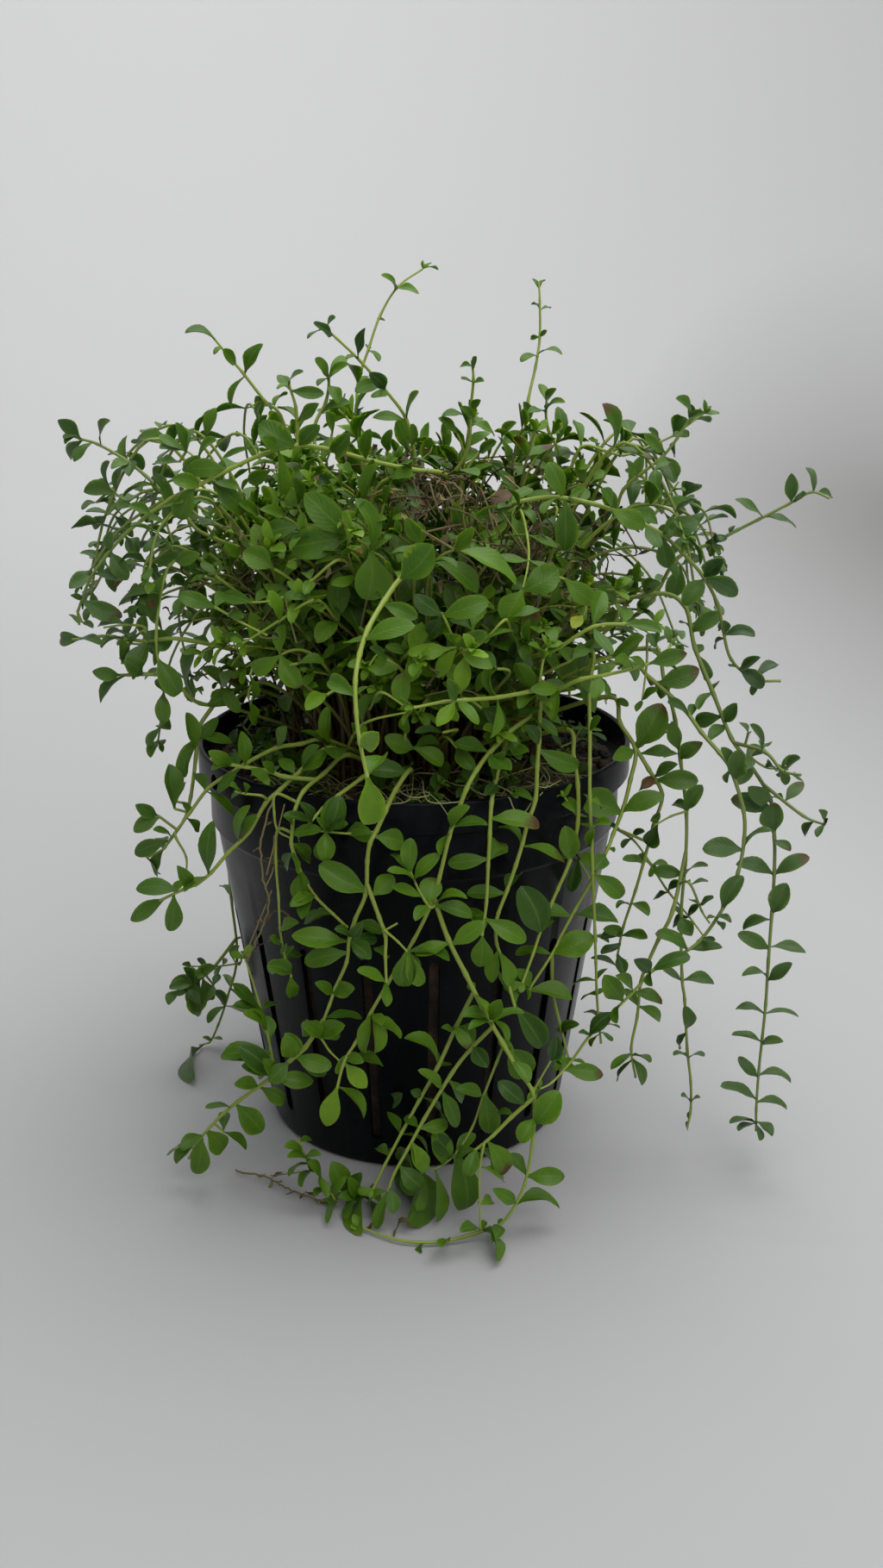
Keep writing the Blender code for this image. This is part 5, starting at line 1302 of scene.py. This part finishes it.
def traced_blade(growth, base, tip, width, kind, chance):
    """A leaf of the photograph, turned about its own line until it looks as wide as it does there."""
    seen = np.linalg.norm(tip - base)
    length = max(seen, min(SHORTEST_LEAF, seen * 1.5))
    lean = math.sqrt(max(length ** 2 - seen ** 2, 0)) * (1 if chance.random() < LEAN_FORWARD_SHARE else -1)
    lean += chance.uniform(-0.16, 0.12) * length
    sight = unit(tip - CAMERA_POINT)
    tip = tip + sight * lean / max(sight[1], 0.5)
    direction = unit(tip - base)
    facing = unit(-sight + direction * sight.dot(direction))
    side = np.cross(direction, facing)
    full = max(width * seen, LEAST_WIDTH * length)
    roll = math.acos(min(width * seen / full, 1)) * 0.9 + abs(chance.gauss(0, 0.12))
    if side[2] < 0:
        roll = -roll
    face = facing * math.cos(roll) + side * math.sin(roll)
    tone = min(max(LEAF_TONE[kind] + chance.uniform(-0.13, 0.13), 0), 1)
    decay = chance.uniform(0.40, 0.48) if kind == BROWN_TIP else 2.2 if kind == WITHERED else 0.0
    curl = 0.08 if width > 0.25 else 0.13
    growth.blade(
        FINE_BLADE, base, tip, face, full, chance.uniform(*TRACED_ARCH) + curl, chance.uniform(-curl, curl),
        chance.uniform(*TRACED_FOLD), chance.uniform(*TRACED_WAVE), tone, decay, chance,
    )


def grow_face_shoot(shoots, base, ends, chance):
    """A short shoot of the mound, from the soil to the traced leaves that it ends in, its stem browner low
    down and darkened there by painted shade.
    """
    heading = unit(sum((unit(end - base) for end in ends), np.zeros(3)) + 0.4 * unit(base - (0, 0, 110 * MM)))
    root = np.array((base[0] * 0.5, base[1] * 0.5, 81 * MM))
    rise = max(base[2] - root[2], 4 * MM)
    shares = np.linspace(0, 1, SHOOT_STEPS)[:, None]
    low, high = root + (0, 0, rise * 0.6), base - heading * min(9 * MM, rise * 0.5)
    path = root * (1 - shares) ** 3 + 3 * low * shares * (1 - shares) ** 2
    path = path + 3 * high * shares ** 2 * (1 - shares) + base * shares ** 3
    # The stem's tone rises from root to tip: partly the brown of the old stem, partly painted shade low
    # inside the mound.
    brown_and_shade_low = np.linspace(0, chance.uniform(0.5, 0.75), SHOOT_STEPS).repeat(STALK_SIDES)
    shoots.tube(path, STEM_RADIUS * np.linspace(0.9, 0.55, SHOOT_STEPS), STALK_SIDES, brown_and_shade_low)


def make_traced_leaves():
    """Grows each leaf of the table from the stem at its stalk, or from a short shoot at the mound's face."""
    chance = random.Random(3)
    places, tangents, pixels, owners = dense_paths()
    shoots = Growth()
    tips, joints = [], []
    for pixel_x, pixel_y, tip_x, tip_y, width, *kind in LEAVES:
        kind = kind[0] if kind else PLAIN
        seen_off = np.hypot(pixels[:, 0] - pixel_x, pixels[:, 1] - pixel_y)
        near = np.flatnonzero((seen_off < seen_off.min() + 3) & (seen_off < SEEN_WITHIN))
        face_place = on_mound(pixel_x, pixel_y, chance.uniform(1, 4) * MM)
        stem = near[np.argmin(places[near, 1])] if len(near) else None
        if stem is not None and face_place is not None and places[stem, 1] > face_place[1] + DEEP_INSIDE:
            stem = None
        if stem is not None:
            base, direction, owner = places[stem], tangents[stem], owners[stem]
        elif face_place is None:
            stem = np.argmin(seen_off)
            base, owner = from_photo(pixel_x, pixel_y, places[stem, 1]), owners[stem]
            direction = base - places[stem]
            stalk = np.linspace(places[stem], base, 4)
            grown_pieces[owner].tube(stalk, STALK_RADIUS, STALK_SIDES, 0.6)
        else:
            base, owner = face_place, None
            for seen_x, seen_y, leaves_here in tips:
                if math.hypot(seen_x - pixel_x, seen_y - pixel_y) < SAME_TIP_WITHIN:
                    base = leaves_here[0]
                    leaves_here.append(from_photo(tip_x, tip_y, base[1]))
                    break
            else:
                tips.append((pixel_x, pixel_y, [base, from_photo(tip_x, tip_y, base[1])]))
        if owner:
            joints.append((base, unit(direction), owner, from_photo(tip_x, tip_y, base[1])))
        tip, share = traced_tip(tip_x, tip_y, base[1]), width / 100
        if tip[1] < base[1] - 1 * MM:
            looks_long = math.hypot(tip_x - pixel_x, tip_y - pixel_y) * (base[1] - CAMERA_POINT[1])
            share *= min(looks_long / FOCAL_LENGTH_PIXELS / np.linalg.norm(tip - base), 1)
        traced_blade(grown_pieces[owner] if owner else shoots, base, tip, share, kind, chance)
    for _, _, (base, *ends) in tips:
        grow_face_shoot(shoots, base, ends, chance)
    return shoots, joints


def grow_on_bare_joints(joints):
    """Pairs at the joints above the rim, and young leaves at the tips, where no traced leaf stands."""
    chance = random.Random(29)
    for path, owner in grown_paths:
        if owner in STANDING_BACK:
            continue
        size, growth = (0.9 if owner in STEMS else 0.75), grown_pieces[owner]
        bases = np.array([base for base, _, of_stem, _ in joints if of_stem == owner] or [(9, 9, 9)])
        tangents = np.gradient(path, axis=0)
        for joint in range(STEPS_PER_NODE, len(path) - 1, STEPS_PER_NODE):
            place, tangent = path[joint], unit(tangents[joint])
            covered = place[2] > MOUND_BOTTOM and np.hypot(*place[:2]) < mound_radius(place[2]) + 8 * MM
            covered = covered or (place[2] > POT_HEIGHT and place[1] > -30 * MM)
            if covered and np.linalg.norm(bases - place, axis=1).min() > BARE_STRETCH:
                toward = unit(place * (1, 1, 0.4))
                axis = unit(np.cross(tangent, toward))
                turn = chance.uniform(-0.7, 0.7)
                axis = axis * math.cos(turn) + np.cross(tangent, axis) * math.sin(turn)
                grow_pair(growth, FINE_BLADE, place, tangent, axis, size, 0.45, 0, 0.4, toward, chance)
        if np.linalg.norm(bases - path[-1], axis=1).min() > BARE_STRETCH:
            grow_tip(growth, FINE_BLADE, path[-1], unit(tangents[-1]), TO_CAMERA, size, 0.5, chance)


def grow_hidden_partners(joints):
    """Behind each lone leaf of a joint, the opposite leaf that the photograph's view hides or shortens."""
    chance = random.Random(17)
    tone = LEAF_TONE[PLAIN] - 0.1
    for base, _, owner, end in joints:
        alone = all(
            other[3] is end or other[2] != owner or np.linalg.norm(other[0] - base) > SAME_JOINT
            for other in joints
        )
        if not alone:
            continue
        away = np.array((chance.uniform(-0.35, 0.35), 1.0, chance.uniform(-0.2, 0.3)))
        direction = unit(away - 0.35 * unit(end - base))
        size = np.linalg.norm(end - base) / LEAF_LENGTH
        tip = base + direction * size * LEAF_LENGTH
        if np.hypot(*tip[:2]) > pot_radius(tip[2]) + 1 * MM and tip[2] > 2 * MM:
            toward = np.array((0, 0.5, 0))
            grow_leaf(grown_pieces[owner], FINE_BLADE, base, direction, size * 0.9, tone, 0, toward, chance)


traced_shoots, traced_joints = make_traced_leaves()
grow_on_bare_joints(traced_joints)
grow_hidden_partners(traced_joints)
for owner, growth in grown_pieces.items():
    piece = growth.to_object("leafy_" + owner, (stem_finish, leaf_finish))
    if owner in STEMS:
        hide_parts(owner)

# Mound. Short leafy shoots rooted in the soil make an airy dome over the pot, bare and dark inside. They grew
# there, each rooted beside the others. Looser shoots arch out of it at the back and the sides and hang over.
MOUND_SHOOTS = 280
LOOSE_SHOOTS = 34
LEFT_SHOOTS = 9
CREEPING_SHOOTS = 46
LOWEST_TIP = 94
TIP_RANGE = 52
DOME_EDGE = 139 * MM
DOME_RADIUS_AT = 137 * MM
DOME_TIPS = (118, 143)
REACH_IN_VIEW = (0.5, 0.98)
REACH_OUT_OF_VIEW = (0.72, 1.03)
SHOOT_ROOT_HEIGHT = 80.5 * MM
HIGHEST_KNEE = 144 * MM
MOUND_STEPS = 15
# Lowest crest and deepest droop, in millimetres, of the looser shoots and of those at the left
LOOSE_FORM = (104, 38)
LEFT_FORM = (122, 14)
# Bare brown patches of the mound's face: place on the photograph, half width and half height in pixels
BARE_PATCHES = (
    (505, 600, 46, 36), (680, 640, 46, 36), (300, 676, 40, 34), (590, 655, 42, 32), (735, 590, 40, 30),
)


def grow_loose_shoots(growth):
    """Shoots that arch out of the mound beside and behind the face that the photograph shows."""
    chance = random.Random(41)
    numbers = range(LOOSE_SHOOTS)
    turns = [-22 + 224 * (number + chance.uniform(-0.4, 0.4)) / LOOSE_SHOOTS for number in numbers]
    turns += [chance.uniform(162, 212) for _ in range(LEFT_SHOOTS)]
    for number, turn in enumerate(map(math.radians, turns)):
        lowest, droop = LOOSE_FORM if number < LOOSE_SHOOTS else LEFT_FORM
        outward = np.array(around(1, turn, 0))
        across = np.array((-outward[1], outward[0], 0))
        start = outward * 20 * MM + (0, 0, chance.uniform(84, 100) * MM)
        crest = outward * chance.uniform(40, 50) * MM + (0, 0, chance.uniform(lowest, 150) * MM)
        crest = crest + across * chance.uniform(-9, 9) * MM
        end = outward * chance.uniform(54, 66) * MM + (0, 0, crest[2] - chance.uniform(2, droop) * MM)
        end = end + across * chance.uniform(-14, 14) * MM
        middle = (crest + end) / 2 + outward * 3 * MM + (0, 0, 3 * MM)
        path = smooth_path([start, (start + crest) / 2 + (0, 0, 7 * MM), crest, middle, end], 6)
        path[:, :2] = np.clip(path[:, :2], box_low[:2] + 5 * MM, box_high[:2] - 5 * MM)
        growth.tube(path, STEM_RADIUS * np.linspace(0.85, 0.5, len(path)), 6, chance.uniform(0.45, 0.75))
        toward = unit(outward + (0, 0, 0.6))
        size, tone = chance.uniform(0.75, 1.05), chance.uniform(0.3, 0.5)
        leafy_shoot(growth, path, range(7, len(path) - 1, 4), size, tone, chance, FINE_BLADE, toward, 0.1)


def grow_creeping_shoots(growth):
    """Small dark shoots that creep over the soil between the stems and the rim."""
    chance = random.Random(47)
    for _ in range(CREEPING_SHOOTS):
        turn, reach = chance.uniform(0, math.tau), chance.uniform(22, 32)
        heading = turn + chance.uniform(-1.4, 1.4)
        places = []
        for height in (-1, 1.2, 2.6, 3.4, 4.5):
            x, y, _ = around(reach * MM, turn, 0)
            places.append((x, y, soil_height(x, y) + (height + chance.uniform(-0.4, 0.8)) * MM))
            reach = min(reach + 2.4 * math.cos(heading - turn), 37)
            turn += 2.4 * math.sin(heading - turn) / reach
        path = smooth_path(places, 4)
        growth.tube(path, 0.28 * MM, 5, chance.uniform(0.1, 0.6))
        toward = unit(np.array(around(1, turn, 1.5)))
        size, tone = chance.uniform(0.4, 0.65), chance.uniform(0.1, 0.3)
        leafy_shoot(growth, path, (5, 9, 13), size, tone, chance, SIMPLE_BLADE, toward, 0.2)


def mound_tip(turn, in_view, chance):
    """Where one of the mound's shoots ends: near the mound's outline, or under its domed top."""
    tip_height = (LOWEST_TIP + TIP_RANGE * chance.random() ** 0.8) * MM
    reach = mound_radius(tip_height) * chance.uniform(*(REACH_IN_VIEW if in_view else REACH_OUT_OF_VIEW))
    if tip_height > DOME_EDGE:
        reach = mound_radius(DOME_RADIUS_AT) * math.sqrt(chance.random())
        tip_height = (chance.uniform(*DOME_TIPS) + 8 * (1 - (reach / (38 * MM)) ** 2)) * MM
    lump = noise.noise(Vector(around(1, turn, tip_height / (30 * MM))) * 1.9)
    reach, tip_height = reach * (1 + 0.22 * lump), tip_height + 9 * MM * lump
    return np.array(around(reach, turn, tip_height)), reach


def in_bare_patch(place):
    pixel = to_photo(place[None])[0]
    offsets = [((pixel[0] - x) / wide, (pixel[1] - y) / tall) for x, y, wide, tall in BARE_PATCHES]
    return place[1] < 10 * MM and any(math.hypot(*offset) < 1 for offset in offsets)


def grow_mound_shoot(growth, turn, tip, reach, in_view, chance):
    """A shoot that bends from the soil to its tip, leafy in its upper part, its stem browner low down and
    darkened there by painted shade.
    """
    root_reach = chance.uniform(0.2, 0.75) * min(36 * MM, reach)
    root = np.array(around(root_reach, turn + chance.uniform(-0.5, 0.5), SHOOT_ROOT_HEIGHT))
    knee = root + (tip - root) * (0.35, 0.35, 0) + (0, 0, (tip[2] - root[2]) * 0.75 + 9 * MM)
    knee[2] = min(knee[2], HIGHEST_KNEE)
    shares = np.linspace(0, 1, MOUND_STEPS)[:, None]
    path = root * (1 - shares) ** 2 + 2 * knee * shares * (1 - shares) + tip * shares ** 2
    path = path + np.sin(shares * math.pi * 2) * (scatter(chance, 1) * 2.2 * MM)
    tone, size = chance.uniform(0.25, 0.6), chance.uniform(0.85, 1.25)
    nodes = (6, 9, 12) if in_view else (5, 7, 9, 11, 13)
    # The stem's tone rises from root to tip: partly the brown of the old stem, partly painted shade low
    # inside the mound.
    brown_and_shade_low = np.linspace(-0.15, chance.uniform(0.3, 0.7), MOUND_STEPS).repeat(5)
    growth.tube(path, STEM_RADIUS * np.linspace(0.85, 0.5, MOUND_STEPS), 5, brown_and_shade_low)
    toward = unit(np.array((tip[0], tip[1], 12 * MM)))
    leafy_shoot(growth, path, nodes, size, tone, chance, SIMPLE_BLADE, toward, 0.12)


def make_mound():
    chance = random.Random(5)
    growths = [Growth() for _ in range(3)]
    for number in range(MOUND_SHOOTS):
        turn = chance.uniform(0, math.tau)
        in_view = math.sin(turn) < 0.15
        tip, reach = mound_tip(turn, in_view, chance)
        if not in_bare_patch(tip):
            grow_mound_shoot(growths[number % 3], turn, tip, reach, in_view, chance)
    grow_loose_shoots(growths[0])
    grow_creeping_shoots(growths[1])
    for index, growth in enumerate([traced_shoots, *growths]):
        piece = growth.to_object(f"mound_shoots_{index + 1}", (stem_finish, leaf_finish))
        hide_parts("crown")


make_mound()

# Dead growth. Brown dry stems and curled dead leaves caught inside the mound, a thin dead stem lying on the
# floor and dry strands hanging at the front left. They dried where they grew.
DEAD_STEMS = {
    "dead_stem_floor": ((-34, -40, -46), (
        (273, 1363), (309, 1366), (339, 1381), (375, 1401))),
    "dead_strand_left": ((-46, -47, -46), (
        (316, 928), (303, 975), (305, 1020), (312, 1050), (300, 1085), (286, 1115))),
}
DRY_STRANDS = (
    (-45, -46, ((318, 969), (317, 1004), (315, 1014), (307, 1031))),
    (-47, -46, ((330, 933), (320, 972), (309, 1015))),
    (-46, -45, ((315, 1033), (291, 1092), (281, 1110))),
    (-37, -40, ((314, 1364), (354, 1359))),
)
DRY_BITS = (
    (315, 1008, -46), (318, 1057, -46), (326, 1076, -46), (309, 1092, -46), (316, 1366, -38),
    (355, 1390, -42), (365, 1395, -44), (461, 1436, -55), (425, 1427, -55),
)
DEAD_STEM_RADIUS = 0.2 * MM
STRAND_RADIUS = 0.14 * MM
DEAD_LEAF_LENGTHS = (1.2, 2.4)
BIT_LENGTHS = (2, 3.6)
FLOOR_BITS_BELOW = 1300
DRY_IN_PATCHES = 150
DRY_ELSEWHERE = 80
DRY_STEM_LENGTHS = (8, 24)
DRY_LEAF_LENGTHS = (1.4, 3.4)


def dry_brown():
    dry = Finish("dry_brown")
    cloud = dry.cloud(420, 5, 0.7)
    brown = dry.ramp(dry.reckon("MULTIPLY_ADD", cloud, 0.35, dry.mark("tone")), {
        0.2: (0.030, 0.020, 0.008), 0.6: (0.105, 0.074, 0.026), 1.0: (0.260, 0.215, 0.090),
    })
    return dry.coat({"Base Color": brown, "Roughness": 0.8, "Normal": dry.relief(cloud, 0.5, 0.0002)})


def dry_leaf(growth, base, direction, length, chance):
    """A shrivelled leaf, curled lengthways and folded."""
    face = np.array((0.1, -0.3, 1)) + scatter(chance, 0.6)
    growth.blade(
        SIMPLE_BLADE, base, base + unit(direction) * length, face, length * chance.uniform(0.12, 0.36),
        chance.uniform(-0.3, 0.4), chance.uniform(-0.3, 0.3), 0.9, 0.5, chance.uniform(0, 0.8), 0, chance,
    )


def any_way(chance):
    return unit(scatter(chance, 1))


def make_dead_stem(name, depths, route, dry, chance):
    """A dead stem or strand with its curled leaves, the thin strands beside it and the bits caught on it."""
    growth = Growth()
    on_floor = name == "dead_stem_floor"
    path = smooth_path(stem_nodes(depths, route), 8)
    path = path + np.array([any_way(chance) for _ in path]) * 0.18 * MM
    path[:, 2] = np.maximum(path[:, 2], 0.5 * MM)
    growth.tube(path, DEAD_STEM_RADIUS, 6, 0.62)
    for node in range(5, len(path), 6):
        way = any_way(chance) * (1, 0.6, 0.4)
        dry_leaf(growth, path[node], way, chance.uniform(*DEAD_LEAF_LENGTHS) * MM, chance)
    for root, tip, strand in DRY_STRANDS:
        if (strand[0][1] > FLOOR_BITS_BELOW) == on_floor:
            thin = smooth_path(stem_nodes((root, tip), strand), 6)
            growth.tube(thin, STRAND_RADIUS, 5, 0.7 if on_floor else 0.8)
    for pixel_x, pixel_y, depth in DRY_BITS:
        if (pixel_y > FLOOR_BITS_BELOW) == on_floor:
            place = from_photo(pixel_x, pixel_y, depth * MM)
            for _ in range(2):
                way = any_way(chance) * (1, 1, 0.5)
                dry_leaf(growth, place, way, chance.uniform(*BIT_LENGTHS) * MM, chance)
    piece = growth.to_object("withered_" + name, (dry, dry))
    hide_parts(name)


def dry_place(number, chance):
    """Where a dry stem starts: inside one of the bare patches, or anywhere within the mound."""
    if number < DRY_IN_PATCHES:
        x, y, wide, tall = BARE_PATCHES[number % len(BARE_PATCHES)]
        pixel_x, pixel_y = x + chance.gauss(0, wide / 2), y + chance.gauss(0, tall / 2)
        place = on_mound(pixel_x, pixel_y, chance.uniform(7, 18) * MM)
        return np.array((0, 0, 100 * MM)) if place is None else place
    turn = chance.uniform(0, math.tau)
    height = chance.uniform(84, 138) * MM
    return np.array(around(mound_radius(height) * chance.uniform(0.1, 0.85), turn, height))


def make_withered_growth(dry, chance):
    """Short dry stems inside the mound, each with a few curled leaves."""
    growth = Growth()
    for number in range(DRY_IN_PATCHES + DRY_ELSEWHERE):
        place = dry_place(number, chance)
        lean = unit(any_way(chance) + (0, 0, 0.4))
        bow = any_way(chance) * 5 * MM
        shares = np.linspace(0, 1, 8)[:, None]
        path = place + lean * shares * chance.uniform(*DRY_STEM_LENGTHS) * MM + np.sin(shares * math.pi) * bow
        reach = np.maximum(np.hypot(path[:, 0], path[:, 1]), 1 * MM)
        path[:, :2] *= np.minimum(1, (mound_radius(path[:, 2]) - 1 * MM) / reach)[:, None]
        path[:, 2] = np.clip(path[:, 2], 82 * MM, 141 * MM)
        growth.tube(path, chance.uniform(0.1, 0.2) * MM, 4, chance.uniform(0.1, 0.8))
        for node in (1, 3, 5, 7):
            dry_leaf(growth, path[node], any_way(chance), chance.uniform(*DRY_LEAF_LENGTHS) * MM, chance)
    piece = growth.to_object("withered_growth_in_mound", (dry, dry))


def make_dead_growth():
    dry = dry_brown()
    chance = random.Random(23)
    for name, (depths, route) in DEAD_STEMS.items():
        make_dead_stem(name, depths, route, dry, chance)
    make_withered_growth(dry, chance)


make_dead_growth()

# Roots. Pale roots that run over the soil between the stems and loop over the front of the rim. They grew out
# of the lowest stems and rest on the soil and the pot's edge. Those of the table are at the front.
FRONT_ROOTS = (
    ((450, 933), (471, 931), (478, 919), (479, 901)), ((490, 903), (492, 923), (502, 932), (535, 930)),
    ((486, 914), (508, 929), (522, 950), (527, 954)), ((533, 895), (543, 913), (563, 923)),
    ((577, 904), (598, 897), (618, 890)), ((590, 923), (596, 940), (608, 943), (616, 931)),
    ((624, 886), (639, 903), (626, 923)), ((480, 897), (505, 898), (533, 895)),
    ((432, 910), (440, 916), (449, 925)), ((455, 905), (463, 918), (480, 926), (500, 922)),
    ((540, 900), (560, 905), (585, 915), (600, 925)), ((610, 905), (630, 915), (650, 905)),
    ((500, 890), (515, 905), (535, 912), (552, 908)),
)
ROOT_LIFT = 0.6 * MM
SOIL_ROOTS_IN_FRONT = 60
SOIL_ROOTS_AROUND = 40
ROOT_STEP = 1.35 * MM
# Soil roots start within the first of these distances from the pot's axis, and turn back at the second
ROOT_START = 41 * MM
ROOT_TURNS_BACK = 39 * MM
FRONT_ROOT_RADII = (0.09, 0.14)
SOIL_ROOT_RADII = (0.08, 0.17)


def root_tan():
    root = Finish("root_tan")
    pale = root.reckon("MULTIPLY_ADD", root.cloud(700, 3), 0.3, root.mark("tone"))
    tan = root.ramp(pale, {
        0.0: (0.045, 0.036, 0.014), 0.5: (0.190, 0.190, 0.060), 1.0: (0.380, 0.410, 0.160),
    })
    return root.coat({"Base Color": tan, "Roughness": 0.6})


def over_lip(pixel_x, pixel_y):
    """The place seen at this pixel on a sheet that lies just over the rim and turns down in front of it."""
    ray = from_photo(pixel_x, pixel_y, -LIP_RADIUS) - CAMERA_POINT
    flat = CAMERA_POINT + ray * (POT_HEIGHT + ROOT_LIFT - CAMERA_POINT[2]) / ray[2]
    if np.hypot(flat[0], flat[1]) < LIP_RADIUS + ROOT_LIFT:
        return flat
    depth = -LIP_RADIUS
    for _ in range(5):
        place = from_photo(pixel_x, pixel_y, depth)
        depth = -math.sqrt((LIP_RADIUS + ROOT_LIFT) ** 2 - place[0] ** 2)
    return place


def grow_front_root(growth, route, chance):
    """A root of the table, its bends rounded off, that dips into the soil where it starts above the rim."""
    places = [over_lip(x, y) for x, y in route]
    if places[0][2] > POT_HEIGHT:
        places.insert(0, np.array((places[0][0] - 1 * MM, places[0][1] + 5 * MM, SOIL_TOP)))
    path = smooth_path(places, 8)
    for _ in range(10):
        path[1:-1] = (path[:-2] + 2 * path[1:-1] + path[2:]) / 4
    growth.tube(path, chance.uniform(*FRONT_ROOT_RADII) * MM, 6, chance.uniform(0.65, 0.95))


def grow_soil_root(growth, front, chance):
    """A root that wanders over the soil and turns back at the pot's wall."""
    turn = math.radians(-90) + chance.gauss(0.1, 0.5) if front else chance.uniform(0, math.tau)
    reach = chance.uniform(0.35, 0.9) * ROOT_START
    heading = turn + chance.uniform(-1.3, 1.3)
    x, y, _ = around(reach, turn, 0)
    path = []
    lift = chance.uniform(0.2, 3.6) * MM if front else chance.uniform(0.1, 1.0) * MM
    for step in range(chance.randint(12, 24)):
        path.append((x, y, soil_height(x, y) + 0.2 * MM + lift * abs(math.sin(step * 0.45))))
        heading += chance.gauss(0, 0.35)
        if math.hypot(x, y) > ROOT_TURNS_BACK:
            heading = math.atan2(-y, -x) + chance.uniform(-0.6, 0.6)
        x += ROOT_STEP * math.cos(heading)
        y += ROOT_STEP * math.sin(heading)
    paleness = chance.uniform(0.2, 0.8) if front else chance.uniform(0.0, 0.5)
    growth.tube(smooth_path(path, 2), chance.uniform(*SOIL_ROOT_RADII) * MM, 5, paleness)


def make_roots():
    chance = random.Random(31)
    growth = Growth()
    for route in FRONT_ROOTS:
        grow_front_root(growth, route, chance)
    for number in range(SOIL_ROOTS_IN_FRONT + SOIL_ROOTS_AROUND):
        grow_soil_root(growth, number < SOIL_ROOTS_IN_FRONT, chance)
    piece = growth.to_object("roots_on_soil", (root_tan(),))


make_roots()
